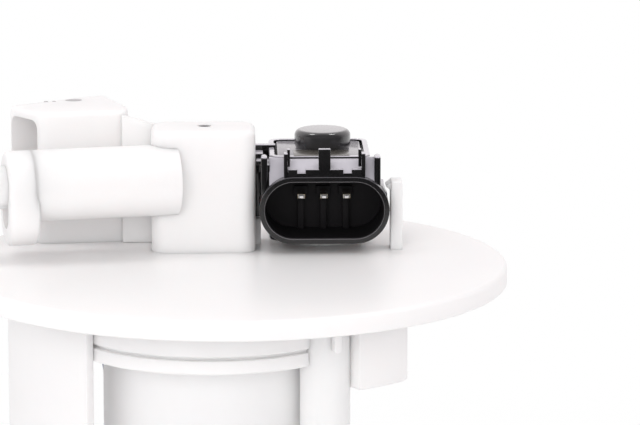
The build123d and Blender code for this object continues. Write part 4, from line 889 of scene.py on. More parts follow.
def dress(thing: bpy.types.Object, body: Optional[Body], finish: Finish, stands_for: Sequence[str] = (),
          smooth: float = 34.0) -> bpy.types.Object:
    """Give a mesh object its finish, body and CAD nodes.

    Args:
        thing: mesh object.
        body: body that it rides on, or None.
        finish: its finish.
        stands_for: CAD nodes that it replaces.
        smooth: angle in degrees above which an edge stays sharp.

    Returns:
        The same object.
    """
    mesh = thing.data
    mesh.materials.clear()
    mesh.materials.append(SHOP.get(finish))
    mesh.polygons.foreach_set("use_smooth", [True] * len(mesh.polygons))
    mesh.set_sharp_from_angle(angle=math.radians(smooth))
    if body is not None:
        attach(thing, body.value)
    if stands_for:
        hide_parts(*stands_for)
    log.info("piece %s: %d faces", thing.name, len(mesh.polygons))
    return thing


# ---- flange
@dataclass
class FlangeMoulding:
    """Round flange with its ports, hood, tower, collar and bosses."""

    radius: float = 50.0
    thickness: float = 3.5
    edge: float = 0.8
    collar_radius: float = 25.0
    tower_low: Point2 = (-14.5, 7.2)
    tower_high: Point2 = (4.6, 19.5)
    tower_top: float = 26.0
    vent_hole: Point2 = (-4.7, 14.0)
    hood_top: float = 28.0
    hood_recess: Point2 = (-29.3, 31.2)
    port_root: Point3 = (-10.0, 9.5, 16.8)
    port_angle: float = 192.0
    mould: Mould = field(default_factory=Mould)

    def plate(self) -> None:
        """Rim, locating ring and filter collar."""
        r, t, e = self.radius, self.thickness, self.edge
        self.mould.lathe([(0, 0), (r - 0.2, 0), (r, 0.2)] + arc((r - e, t - e), e, 0, 90) + [(0, t)], steps=192)
        self.mould.lathe([(43.0, 0.1), (43.0, -1.0), (43.2, -1.2), (44.3, -1.2), (44.5, -1.0), (44.5, 0.1)], steps=160)
        c = self.collar_radius
        self.mould.lathe([(0, 0.1), (c, 0.1), (c, -4.7), (c - 0.15, -4.9), (c - 0.7, -4.95), (c - 0.7, -5.5),
                          (17.9, -5.5), (17.9, -1.5), (0, -1.5)], FILTER, 144)

    def bosses(self) -> None:
        """Rod bosses, hose nipple, vent skirt and plug shroud."""
        for place in RODS:
            self.mould.lathe([(3.02, 0.1), (4.4, 0.1), (4.4, -21.6), (4.1, -22.0), (3.02, -22.0)], place, 64)
            self.mould.cylinder(3.3, 0.1, -2.5, place)
            for angle in (20, 110, 200, 290):
                rib = Mould().prism([(4.1, -0.6), (6.4, -0.6), (6.4, 0.6), (4.1, 0.6)], (-5.2, 0.1), 0.0, 0.0, 0.5, 2)
                self.mould.add(rib, heading(*place, 0, angle))
        self.mould.lathe([(2.0, 0.1), (3.2, 0.1)] + barbs(-14.0, 1), HOSE_TOP, 48)
        self.mould.lathe([(8.02, 0.1), (9.2, 0.1), (9.2, -3.8), (9.0, -4.0), (8.02, -4.0)], VENT, 64)
        outer = rounded_rectangle((15.0, 0), 11.4, 8.0, 1.0)
        inner = rounded_rectangle((15.0, 0), 9.04, 5.64, 0.8)
        rings = [raised(loop, z) for loop, z in ((outer, 0.1), (outer, -6.0), (inner, -6.0), (inner, 0.1))]
        self.mould.add(Mould().loft(rings, closed=True), heading(*HOOD_MOUTH, 0, HOOD_ANGLE))

    def shields(self) -> None:
        """Long splash wall and the stop block beside the front rod."""
        self.mould.prism(polar_sector(40.5, 38.7, 186, 231.5, 40), (-46, 0.1), bottom=0.5, steps=3)
        self.mould.prism(polar_sector(40.5, 36.9, 303, 319.5, 16), (-12.5, 0.1), bottom=0.5, steps=3)

    def hood(self) -> None:
        """Power connector hood with its open mouth."""
        turn = math.radians(HOOD_ANGLE)
        along, across = (math.cos(turn), math.sin(turn)), (-math.sin(turn), math.cos(turn))
        half, length = 5.7, 21.5
        (x, y), t = HOOD_MOUTH, self.thickness
        far = (x + half * across[0], y + half * across[1])
        near = (x - half * across[0], y - half * across[1])
        rear = (far[0] + length * along[0], far[1] + length * along[1])
        body = Mould().prism([near, (-18.9, 18.6), (-18.9, 24.0), rear, far], (t - 0.5, self.hood_top), 1.6, 0.9)
        cavity = Mould().prism(rounded_rectangle((0, 0), 17.9, 9.0, 1.8), (-5, 10.5), steps=3)
        place = heading(x, y, 8.5 + 17.9 / 2, HOOD_ANGLE)
        recess = Mould().lathe([(0, self.hood_top - 1), (1.5, self.hood_top - 1), (1.75, self.hood_top + 1),
                                (0, self.hood_top + 1)], self.hood_recess, 32)
        body.carve(Mould().add(cavity, place @ ALONG_X), recess)
        key = Mould().block((2.0, -1.1, -7.4), (10.6, 1.1, -6.6), 0.1)
        key.block((6.2, -4.6, -3.4), (10.6, -2.2, 1.0), 0.15)
        self.mould.add(body).add(key, place)

    def tower(self) -> None:
        """Vent tower, its small hole, and the web to the hood."""
        (x0, y0), (x1, y1), t = self.tower_low, self.tower_high, self.thickness
        middle, width, depth = ((x0 + x1) / 2, (y0 + y1) / 2), x1 - x0, y1 - y0
        body = Mould().prism(rounded_rectangle(middle, width, depth, 3.0), (t - 0.5, self.tower_top), top=1.2)
        hole = Mould().lathe([(0, 22.0), (1.2, 22.0), (1.2, 25.8), (1.35, 26.5), (0, 26.5)], self.vent_hole, 32)
        self.mould.add(body.carve(hole))
        web = Mould().prism([(-20.0, 0), (-13.5, 0), (-13.5, 22.1), (-20.0, 23.9)], (-19.0, -17.0), 0, 0.3, 0.3, 2)
        self.mould.add(web, Matrix.Translation((0, 0, t)) @ FACING_FRONT)

    def port(self) -> None:
        """Outlet barrel, guard collar and line pipe with its bead."""
        place = heading(*self.port_root, self.port_angle)
        pipe = Mould().lathe([(2.7, 22), (3.9, 22), (4.0, 31.0), (4.0, 43.4)] + arc((4.0, 44.5), 0.9, -75, 75, 8)
                             + [(4.0, 45.6), (4.0, 50.9), (3.5, 51.5), (3.0, 51.5), (2.7, 51.1)], steps=72)
        barrel = Mould().lathe([(0, 0), (6.5, 0), (6.5, 26.8), (6.3, 27.0), (2.8, 27.0), (2.8, 21), (0, 21)], steps=96)
        self.mould.add(pipe, place @ ALONG_X).add(barrel, place @ ALONG_X)
        guard = Mould().prism(obround(17.3, 13.0), (26.0, 31.5), top=0.8, bottom=0.8, steps=4)
        guard.carve(Mould().cylinder(3.4, 20, 40, (2.15, 0), 48))
        self.mould.add(guard, place @ Matrix.Translation((0, 0, -2.15)) @ ALONG_X)

    def seats(self) -> None:
        """Pad under the sensor, hooked clip post and side rest."""
        pad = [(4.2, 0.1), (7.5, 0.1), (7.5, 4.8), (7.3, 5.0), (4.2, 5.0)]
        self.mould.lathe(pad, (SENSOR_X, 21.0), 72)
        left = SENSOR_X + 12.2
        self.mould.block((left, 9.3, 3.0), (left + 2.2, 13.8, 16.2), 0.3, 3)
        nose = Mould().prism([(0.2, 16.1), (0.2, 14.4), (-0.9, 15.3)], (-13.6, -9.5), 0.1, 0.1, 0.1, 2)
        self.mould.add(nose, Matrix.Translation((left, 0, 0)) @ FACING_FRONT)
        self.mould.block((3.6, 15, 3.0), (5.6, 20, 8.3), 0.3, 3)

    def build(self) -> None:
        """Make the moulding as one piece."""
        for step in (self.plate, self.bosses, self.shields, self.hood, self.tower, self.port, self.seats):
            step()
        self.mould.piece("flange_moulding", Body.TANK, NATURAL, ["flange"])
        # painted shade: a dull black cylinder fills the tower's vent bore, standing for its shadow
        bore = Mould().cylinder(1.19, 22.5, 25.82, self.vent_hole)
        bore.piece("tower_vent_disc", Body.TANK, CAVE)
        top = self.hood_top
        # painted shade: a grey disc fills the gate recess almost to its rim, standing for the recess's shadow; two
        # small grey dots sit beside it
        marks = Mould().cylinder(1.6, top - 0.9, top - 0.12, self.hood_recess)
        for x, y, size in ((-34.4, 29.3, 0.45), (-32.9, 29.6, 0.35)):
            marks.lathe([(0, top - 0.3), (size, top - 0.3), (size, top + 0.02), (size - 0.1, top + 0.08),
                         (0, top + 0.08)], (x, y), 16)
        marks.piece("hood_gate_marks", Body.TANK, GATE)


# ---- tank-pressure sensor
@dataclass
class PressureSensor:
    """Black sensor with its connector mouth, tray, cap and pins."""

    x: float = SENSOR_X
    front: float = 6.0
    axis_z: float = 11.5
    width: float = 23.8
    height: float = 12.45
    wall: float = 1.1
    body_top: float = 20.9
    body_width: float = 18.5
    body_shift: float = -0.75
    body_y: float = 19.5
    body_depth: float = 19.0
    cap_y: float = 21.0
    cap_radius: float = 5.2
    cap_top: float = 24.1
    pin_pitch: float = 4.15
    pin_z: float = 13.4
    solid: Mould = field(default_factory=Mould)

    def rim(self) -> None:
        """Rounded-slot mouth and its parting line."""
        mould, side = Mould(), self.x + self.width / 2
        mould.loft(self.slots([(0.0, 19.0), (0.0, 6.2), (0.04, 6.07), (0.13, 6.0), (0.8, 6.0), (0.88, 6.1),
                               (1.0, 6.4), (1.0, 17.0)]))
        mould.block((side - 0.1, 6.6, 11.25), (side + 0.12, 18.0, 11.4), 0.02)
        mould.piece("sensor_mouth_rim", Body.TANK, RIM, ["sensor_housing"])

    def slots(self, rows: Sequence[Point2]) -> list[list[Point3]]:
        """Rounded-slot loops of the mouth.

        Args:
            rows: (inset, Y) of each loop.

        Returns:
            The loops.
        """
        rings = []
        for inset, y in rows:
            loop = obround(self.width - 2 * inset, self.height - 2 * inset, 24)
            rings.append([(self.x + a, y, self.axis_z + b) for a, b in loop])
        return rings

    def lining(self) -> None:
        """Dull inside of the mouth with its pin ribs, and a thin light ring round it that paints the bevel's
        highlight.
        """
        inside = Mould().loft(self.slots([(1.01, 16.98), (1.01, 6.42), (1.08, 6.42), (1.12, 6.6), (1.12, 16.8)]))
        top = self.axis_z + self.height / 2 - self.wall
        for offset in (-4.9, -1.1, 1.1, 4.4):
            inside.block((self.x + offset - 0.2, 9.0, top - 0.55), (self.x + offset + 0.2, 16.9, top + 0.05), 0.05)
        for number in (-1, 0, 1):
            x = self.x + number * self.pin_pitch
            inside.block((x - 0.55, 15.2, self.axis_z - 5.2), (x + 0.55, 16.9, self.pin_z - 0.4), 0.1)
            inside.block((x - 1.3, 15.8, self.pin_z - 0.9), (x + 1.3, 16.9, self.pin_z + 0.9), 0.15)
        inside.piece("sensor_mouth_lining", Body.TANK, CAVE)
        # painted highlight: a thin light grey ring on the mouth's bevel
        bevel = Mould().loft(self.slots([(0.86, 6.06), (0.88, 5.99), (0.93, 5.99), (0.96, 6.08), (0.94, 6.25),
                                         (0.86, 6.25)]), closed=True)
        bevel.piece("sensor_mouth_bevel", Body.TANK, WORN)

    def body(self) -> None:
        """Body with its tray wall, sloped front and port."""
        middle, rings = (self.x + self.body_shift, self.body_y), []
        for inset, z in ((0.5, 5.0), (0.15, 5.15), (0.0, 5.5), (0.0, self.body_top - 0.15), (0.12, self.body_top),
                         (0.9, self.body_top), (1.0, self.body_top - 0.1), (1.0, self.body_top - 1.0)):
            loop = rounded_rectangle(middle, self.body_width - 2 * inset, self.body_depth - 2 * inset,
                                     2.4 - inset, 8)
            rings.append(raised(loop, z))
        self.solid.loft(rings)
        ramp = [(7.2, 14.0), (10.9, 14.0), (10.9, 20.5), (10.3, 20.5), (9.9, 20.45), (7.3, 18.35)]
        self.side_prism(ramp, -6.8, 6.95)
        flank = [(7.1, 12.0), (10.8, 12.0), (10.8, 20.7), (10.0, 20.7), (9.8, 20.4), (7.1, 15.7)]
        self.side_prism(flank, -10.1, -6.65)
        self.side_prism(flank, 6.8, 9.75)
        for side in (-1, 1):
            low = [(7.4, 12.0), (17.4, 12.0), (17.4, 15.2), (7.4, 14.2)]
            self.side_prism(low, *sorted((side * 9.0, side * 11.2)))
        self.solid.lathe([(1.5, 5.2), (4.0, 5.2), (4.0, 2.8), (2.8, 2.8), (2.8, 1.0), (4.0, 1.0), (4.0, -0.5),
                          (3.6, -1.0), (1.5, -1.0)], (self.x, self.cap_y), 48)

    def side_prism(self, outline: Sequence[Point2], low: float, high: float) -> None:
        """Add a prism of a (y, z) outline, running across X between two distances from the middle."""
        turn = Matrix(((0, 0, 1, self.x), (1, 0, 0, 0), (0, 1, 0, 0), (0, 0, 0, 1)))
        self.solid.add(Mould().prism(outline, (low, high), 0, 0.15, 0.15, 2), turn)

    def front_frame(self) -> None:
        """Notched lip, latch, fins and ears."""
        x, front, lip_top, solid = self.x, self.front, 19.15, self.solid
        edges = [-6.65, -4.95, -3.45, 3.45, 4.95, 6.75]
        for low, high in zip(edges[::2], edges[1::2]):
            solid.block((x + low, front + 0.3, 14.2), (x + high, front + 1.3, lip_top), 0.12)
        solid.block((x - 6.62, front + 0.32, 14.2), (x + 6.72, front + 1.2, lip_top - 0.7), 0.08)
        solid.block((x - 1.1, front + 0.3, 17.9), (x + 1.1, front + 1.3, 22.9), 0.12)
        solid.block((x - 1.0, front + 1.2, 17.9), (x + 1.0, front + 2.8, 21.6), 0.12)
        for outer, inner in ((-7.05, -6.52), (7.1, 6.5)):
            solid.block((x + outer - 0.36, front + 0.5, 15.7), (x + outer + 0.36, front + 2.6, 22.0), 0.12)
            solid.block((x + inner - 0.26, front + 2.4, 15.7), (x + inner + 0.26, front + 3.6, 22.45), 0.08)
        solid.block((x - 10.8, front + 2.6, 9.0), (x - 9.95, front + 7.0, 19.6), 0.1)
        for offset in (-10.95, 9.75):
            solid.block((x + offset - 0.62, front + 1.4, 9.0), (x + offset + 0.55, front + 4.4, 21.3), 0.45, 4)
        solid.block((x - 12.75, 15.8, 8.6), (x - 11.1, 21, 20.4), 0.12)
        solid.block((x - 12.55, 19.4, 18.6), (x - 8.75, 21, 21.4), 0.12)
        solid.block((x - 12.3, 15.0, 17.0), (x - 10.9, 21, 19.2), 0.15)
        solid.block((x - 12.4, 12.4, 18.6), (x - 9.0, 15.2, 19.7), 0.2)
        solid.block((x + 8.75, 9.9, 11.5), (x + 11.6, 13.2, 14.1), 0.2)

    def pins(self) -> None:
        """Three pins with pointed tips, as repeated instances of one blade."""
        places = [(self.x + number * self.pin_pitch, 0.0, self.pin_z) for number in (-1, 0, 1)]
        blade, tip = Mould().block((-0.65, 10.35, -0.4), (0.65, 20.3, 0.36), 0.0), Mould()
        sections = [(0.33, -0.22, 0.16, 9.5), (0.6, -0.38, 0.3, 10.36)]
        tip.loft([[(-w, y, low), (w, y, low), (w, y, high), (-w, y, high)] for w, low, high, y in sections])
        # painted highlight: the pin tips take the near-white glint finish
        dress(GeometryKit.repeat("sensor_pin_tips", tip, places, TIP), Body.TANK, TIP)
        row = GeometryKit.repeat("sensor_pins", blade, places, TINNED)
        dress(row, Body.TANK, TINNED, ["sensor_terminals"])

    def build(self) -> None:
        """Make housing, cover plate, cap and pins."""
        self.body()
        self.front_frame()
        self.solid.carve(Mould().loft(self.slots([(1.0, 5.0), (1.0, 17.0)])))
        self.rim()
        self.solid.piece("sensor_moulding", Body.TANK, BLACK)
        middle = (self.x + self.body_shift, self.body_y)
        tray = Mould().prism(rounded_rectangle(middle, 16.4, 16.9, 1.3, 8), (19.5, 19.94))
        tray.piece("sensor_tray_floor", Body.TANK, CAVE)
        # painted shade: a thin dark plate on the cover in front of the cap
        step = Mould().block((self.x - 5.5, 10.25, 20.5), (self.x + 4.7, 16.6, 20.94), 0.05)
        step.piece("sensor_cover_step", Body.TANK, STEP)
        self.lining()
        lid = Mould().prism(rounded_rectangle(middle, 15.5, 16.0, 1.2, 8), (19.95, 20.72), top=0.12, steps=2)
        lid.piece("sensor_cover", Body.TANK, COVER, ["sensor_lid"])
        r, top = self.cap_radius, self.cap_top
        cap = Mould().lathe([(0, 20.5), (r - 0.35, 20.5), (r - 0.1, 21.0), (r, 21.4)]
                            + arc((r - 1.15, top - 1.15), 1.15, 0, 90, 16) + [(0, top)],
                            (self.x, self.cap_y), 96)
        cap.piece("sensor_vent_cap", Body.TANK, CAP, ["sensor_cap"])
        self.pins()


# ---- geometry nodes
class GeometryKit:
    """Geometry Nodes trees for what repeats or follows a path."""

    COIL_STEPS, COIL_SIDES, COIL_CLOSING = 40, 12, 0.55
    ROUTE_STEPS, RIB_STEPS, RIB_SHARPNESS = 24, 8, 1.6

    @staticmethod
    def tree(name: str, inputs: dict[str, tuple[str, object]]) -> tuple[NodeKit, Sockets, Sockets]:
        """Start a tree.

        Args:
            name: tree name.
            inputs: input name to socket type and default.

        Returns:
            The tree's node kit, what it is given and what it gives back.
        """
        tree = bpy.data.node_groups.new(name, "GeometryNodeTree")
        tree.interface.new_socket(name="Geometry", in_out="INPUT", socket_type="NodeSocketGeometry")
        for label, (kind, default) in inputs.items():
            socket = tree.interface.new_socket(name=label, in_out="INPUT", socket_type=kind)
            if default is not None:
                socket.default_value = default
        tree.interface.new_socket(name="Geometry", in_out="OUTPUT", socket_type="NodeSocketGeometry")
        return NodeKit(tree), tree.nodes.new("NodeGroupInput").outputs, tree.nodes.new("NodeGroupOutput").inputs

    @staticmethod
    def close(kit: NodeKit, shape: Socket, finish: Finish, result: Sockets) -> None:
        """End a tree in Realize Instances and Set Material.

        Args:
            kit: the tree's nodes.
            shape: geometry to end with.
            finish: its finish.
            result: the tree's output sockets.
        """
        real, paint = kit.add("GeometryNodeRealizeInstances"), kit.add("GeometryNodeSetMaterial")
        kit.feed(SHOP.get(finish), paint.inputs["Material"])
        kit.feed(shape, real.inputs[0])
        kit.feed(real.outputs[0], paint.inputs[0])
        kit.feed(paint.outputs[0], result[0])

    @staticmethod
    def bake(name: str, host: bpy.types.Object, tree: bpy.types.NodeTree,
             values: dict[str, object]) -> bpy.types.Object:
        """Run a tree on a host object and keep its plain mesh.

        Args:
            name: name of the new piece.
            host: object that carries the modifier; it is removed.
            tree: geometry tree.
            values: input name to value.

        Returns:
            The new mesh object.
        """
        modifier = host.modifiers.new("geometry", "NODES")
        modifier.node_group = tree
        names = {item.name: item.identifier for item in tree.interface.items_tree if item.in_out == "INPUT"}
        for label, value in values.items():
            modifier[names[label]] = value
        bpy.context.view_layer.update()
        graph = bpy.context.evaluated_depsgraph_get()
        mesh = bpy.data.meshes.new_from_object(host.evaluated_get(graph), depsgraph=graph)
        bpy.data.objects.remove(host)
        mesh.name = name
        return put(name, mesh)

    @classmethod
    def repeat(cls, name: str, shape: Mould, places: Sequence[Point3], finish: Finish,
               turn: float = 0.0) -> bpy.types.Object:
        """Repeat a small shape at several places.

        Args:
            name: name of the new piece.
            shape: mould of one copy, in millimetres.
            places: where the copies go, in millimetres.
            finish: their finish.
            turn: angle in radians that each copy is turned past the one before it.

        Returns:
            The new mesh object.
        """
        bmesh.ops.scale(shape.bm, vec=(MM, MM, MM), verts=shape.bm.verts[:])
        single = Mould.temporary(shape.bm)
        points = bpy.data.meshes.new("places")
        points.from_pydata([(x * MM, y * MM, z * MM) for x, y, z in places], [], [])
        host = put("places", points)
        kit, given, result = cls.tree(name, {"Copy": ("NodeSocketObject", None), "Turn": (NUMBER, 0.0)})
        info = kit.add("GeometryNodeObjectInfo")
        kit.feed(given["Copy"], info.inputs["Object"])
        angle = kit.add("ShaderNodeCombineXYZ")
        kit.feed(kit.times(kit.add("GeometryNodeInputIndex").outputs[0], given["Turn"]), angle.inputs["Z"])
        spread = kit.add("GeometryNodeInstanceOnPoints")
        for label, value in (("Points", given["Geometry"]), ("Instance", info.outputs["Geometry"]),
                             ("Rotation", angle.outputs[0])):
            kit.feed(value, spread.inputs[label])
        cls.close(kit, spread.outputs[0], finish, result)
        thing = cls.bake(name, host, kit.tree, {"Copy": single, "Turn": turn})
        bpy.data.objects.remove(single)
        return thing

    @classmethod
    def coil(cls, name: str, turns: float, length: float, radius: float, wire: float, base: Point3,
             finish: Finish) -> bpy.types.Object:
        """Compression spring with closed ends.

        Args:
            name: name of the new piece.
            turns: number of turns.
            length: height in millimetres.
            radius: coil radius in millimetres.
            wire: wire diameter in millimetres.
            base: centre of the lower end in millimetres.
            finish: its finish.

        Returns:
            The new mesh object.
        """
        host = put("coil_host", bpy.data.meshes.new("coil_host"))
        kit, given, result = cls.tree(name, {
            "Turns": (NUMBER, 7.0), "Length": (NUMBER, 0.07), "Radius": (NUMBER, 0.004), "Wire": (NUMBER, 0.0006),
            "Base": ("NodeSocketVector", (0, 0, 0))})
        spiral = kit.add("GeometryNodeCurveSpiral")
        for label, value in (("Resolution", cls.COIL_STEPS), ("Height", 1.0), ("Rotations", given["Turns"]),
                             ("Start Radius", given["Radius"]), ("End Radius", given["Radius"])):
            kit.feed(value, spiral.inputs[label])
        place = kit.split(kit.add("GeometryNodeInputPosition").outputs[0])
        share = place["Z"]
        eased = kit.less(kit.times(share, share, 3.0), kit.times(kit.math("POWER", share, 3.0), 2.0))
        shaped = kit.plus(kit.times(share, 1 - cls.COIL_CLOSING), kit.times(eased, cls.COIL_CLOSING))
        bent = kit.add("ShaderNodeCombineXYZ")
        for label, value in (("X", place["X"]), ("Y", place["Y"]), ("Z", kit.times(shaped, given["Length"]))):
            kit.feed(value, bent.inputs[label])
        moved = kit.add("ShaderNodeVectorMath", operation="ADD")
        kit.feed(bent.outputs[0], moved.inputs[0])
        kit.feed(given["Base"], moved.inputs[1])
        route = kit.add("GeometryNodeSetPosition")
        kit.feed(spiral.outputs[0], route.inputs["Geometry"])
        kit.feed(moved.outputs[0], route.inputs["Position"])
        cls.close(kit, cls.skin(kit, route.outputs[0], given["Wire"], cls.COIL_SIDES), finish, result)
        return cls.bake(name, host, kit.tree, {
            "Turns": float(turns), "Length": length * MM, "Radius": radius * MM, "Wire": wire / 2 * MM,
            "Base": tuple(value * MM for value in base)})

    @classmethod
    def tube(cls, name: str, points: Sequence[Point3], radius: float, finish: Finish, rib_pitch: float = 0.0,
             rib_depth: float = 0.0, cuff: float = 0.0, sides: int = 16) -> bpy.types.Object:
        """Hose or wire along a smooth route.

        Args:
            name: name of the new piece.
            points: route in millimetres.
            radius: outer radius in millimetres.
            finish: its finish.
            rib_pitch: distance between corrugations in millimetres, or 0 for a plain tube.
            rib_depth: depth of the corrugations in millimetres.
            cuff: plain length at each end in millimetres.
            sides: facets round the tube.

        Returns:
            The new mesh object.
        """
        curve = bpy.data.curves.new(name, "CURVE")
        curve.dimensions, curve.resolution_u = "3D", cls.ROUTE_STEPS
        spline = curve.splines.new("NURBS")
        spline.points.add(len(points) - 1)
        for slot, (x, y, z) in zip(spline.points, points):
            slot.co = (x * MM, y * MM, z * MM, 1.0)
        spline.order_u, spline.use_endpoint_u = 3, True
        host = put("route", curve)
        kit, given, result = cls.tree(name, {
            "Radius": (NUMBER, 0.004), "Pitch": (NUMBER, 0.0), "Depth": (NUMBER, 0.0), "Cuff": (NUMBER, 0.0)})
        resample = kit.add("GeometryNodeResampleCurve", mode="LENGTH")
        kit.feed(given["Geometry"], resample.inputs["Curve"])
        kit.feed((rib_pitch / cls.RIB_STEPS if rib_pitch else 1.0) * MM, resample.inputs["Length"])
        size = kit.plus(given["Radius"], 0.0)
        if rib_pitch:
            travel = kit.add("GeometryNodeSplineParameter").outputs["Length"]
            total = kit.add("GeometryNodeSplineLength").outputs["Length"]
            wave = kit.math("SINE", kit.times(kit.math("DIVIDE", travel, given["Pitch"]), 2 * math.pi))
            dip = kit.clamp(kit.times(kit.less(1.0, kit.times(wave, cls.RIB_SHARPNESS)), 0.5))
            past = kit.math("GREATER_THAN", travel, given["Cuff"])
            before = kit.math("LESS_THAN", travel, kit.less(total, given["Cuff"]))
            size = kit.less(given["Radius"], kit.times(past, before, dip, given["Depth"]))
        swell = kit.add("GeometryNodeSetCurveRadius")
        kit.feed(resample.outputs[0], swell.inputs["Curve"])
        kit.feed(size, swell.inputs["Radius"])
        width = kit.add("GeometryNodeInputRadius").outputs[0]
        cls.close(kit, cls.skin(kit, swell.outputs[0], 1.0, sides, width), finish, result)
        return cls.bake(name, host, kit.tree, {"Radius": radius * MM, "Pitch": rib_pitch * MM,
                                               "Depth": rib_depth * MM, "Cuff": cuff * MM})

    @staticmethod
    def skin(kit: NodeKit, route: Socket, radius: object, sides: int, scale: object = 1.0) -> Socket:
        """Round skin along a route, closed at its ends.

        Args:
            kit: the tree's nodes.
            route: curve that it follows.
            radius: number or socket.
            sides: facets round it.
            scale: number or socket that changes the radius along the route.

        Returns:
            The skin.
        """
        section = kit.add("GeometryNodeCurvePrimitiveCircle")
        kit.feed(sides, section.inputs["Resolution"])
        kit.feed(radius, section.inputs["Radius"])
        solid = kit.add("GeometryNodeCurveToMesh")
        for label, value in (("Curve", route), ("Profile Curve", section.outputs[0]), ("Scale", scale),
                             ("Fill Caps", True)):
            kit.feed(value, solid.inputs[label])
        return solid.outputs[0]


# ---- moving lines and springs
@dataclass
class Linkage:
    """Springs, hose and wires that join the flange to the sliding reservoir."""

    boss_end: float = -22.0
    sleeve_top: float = -94.0
    spring_radius: float = 4.1
    spring_wire: float = 1.2
    turns: float = 9.5
    hose_radius: float = 4.0
    rib_pitch: float = 2.4
    rib_depth: float = 0.75
    cuff: float = 16.0
    wire_radius: float = 0.8
    hose_route: Sequence[Point3] = (
        (*HOSE_TOP, -4.0), (*HOSE_TOP, -23.95), (14.5, 18.0, -43.9), (9.0, 11.5, -63.85), (*HOSE_FOOT, -83.8),
        (*HOSE_FOOT, -99.0))
    hose_span: Point2 = (-16.0, -86.0)
    legs: tuple[Point2, ...] = ((-28.319, 27.633), (-26.681, 28.78), (-25.043, 29.927), (-23.404, 31.075))
    wire_top: float = -12.5
    pump_wires_end: float = -93.0
    sender_wires_end: float = -121.0
    wire_spans: tuple[Point2, Point2] = ((-14.0, -91.0), (-14.0, -112.0))
    sharp: float = 60.0

    def route(self, rows: Sequence[Point3], bottom: float) -> list[Point3]:
        """Wire route whose third number is the share of the way down to its end."""
        return [(x, y, self.wire_top + (bottom - self.wire_top) * share) for x, y, share in rows]

    def wire_routes(self) -> tuple[list[list[Point3]], list[list[Point3]]]:
        """Routes of the two pairs of wires.

        Returns:
            The pump wires and the sender wires.
        """
        pump, sender = [], []
        for leg, x in ((0, -9.5), (1, -5.5)):
            a, b = self.legs[leg]
            rows = [(a, b, 0.0), (a, b, 0.05), (a - 2.5, b - 2.5, 0.16), (a - 2.5, b - 4.0, 0.34),
                    (x - 12.5, 16.5, 0.58), (x - 3.0, 11.0, 0.76), (x, 7.0, 0.91), (x, 7.0, 1.0)]
            pump.append(self.route(rows, self.pump_wires_end))
        for leg, y in ((2, -2.0), (3, 2.0)):
            a, b = self.legs[leg]
            rows = [(a, b, 0.0), (a, b, 0.04), (-22.6 + 0.1 * y, 28.5 + 0.75 * y, 0.11),
                    (-22.5 + 0.25 * y, 24.5 + y, 0.29), (-12.0 + y, 21.5 + y, 0.46), (3.0, 19.5 + y, 0.59),
                    (20.0, 14.0 + y, 0.71), (33.0, 6.0 + y, 0.80), (36.5, y, 0.90), (36.5, y, 1.0)]
            sender.append(self.route(rows, self.sender_wires_end))
        return pump, sender

    @staticmethod
    def join(name: str, parts: Sequence[bpy.types.Object]) -> bpy.types.Object:
        """Join several mesh objects into one piece.

        Args:
            name: name of the piece.
            parts: objects to join; they are removed.

        Returns:
            The joined object.
        """
        bm = bmesh.new()
        for part in parts:
            bm.from_mesh(part.data)
            bpy.data.objects.remove(part)
        return put_mesh(name, bm)

    def stretch(self, thing: bpy.types.Object, finish: Finish, node: str, axis: Point2, span: Point2) -> None:
        """Give a piece that runs from the flange to the reservoir its finish and fix its place.

        Args:
            thing: mesh object.
            finish: its finish.
            node: CAD node that it replaces.
            axis: not used.
            span: not used.
        """
        dress(thing, None, finish, [node], self.sharp)
        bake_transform(thing)

    def build(self) -> None:
        """Make springs, hose and wires."""
        length = self.boss_end - self.sleeve_top - self.spring_wire
        for name, rod in zip(("spring_front", "spring_rear"), RODS):
            base = (*rod, self.sleeve_top + self.spring_wire / 2)
            coil = GeometryKit.coil(name + "_coil", self.turns, length, self.spring_radius, self.spring_wire, base,
                                    SPRING)
            self.stretch(coil, SPRING, name, rod, (self.boss_end - 1, self.sleeve_top + 1))
        hose = GeometryKit.tube("supply_hose_tube", self.hose_route, self.hose_radius, DARK, self.rib_pitch,
                                self.rib_depth, self.cuff, 40)
        self.stretch(hose, DARK, "supply_hose", HOSE_TOP, self.hose_span)
        pairs = zip(("pump_wires", "sender_wires"), self.wire_routes(), (RED_WIRE, BLUE_WIRE), self.wire_spans)
        for name, routes, finish, span in pairs:
            lines = [GeometryKit.tube(f"{name}_{number}", route, self.wire_radius, finish, sides=14)
                     for number, route in enumerate(routes)]
            self.stretch(self.join(name + "_pair", lines), finish, name, (0, 0), span)


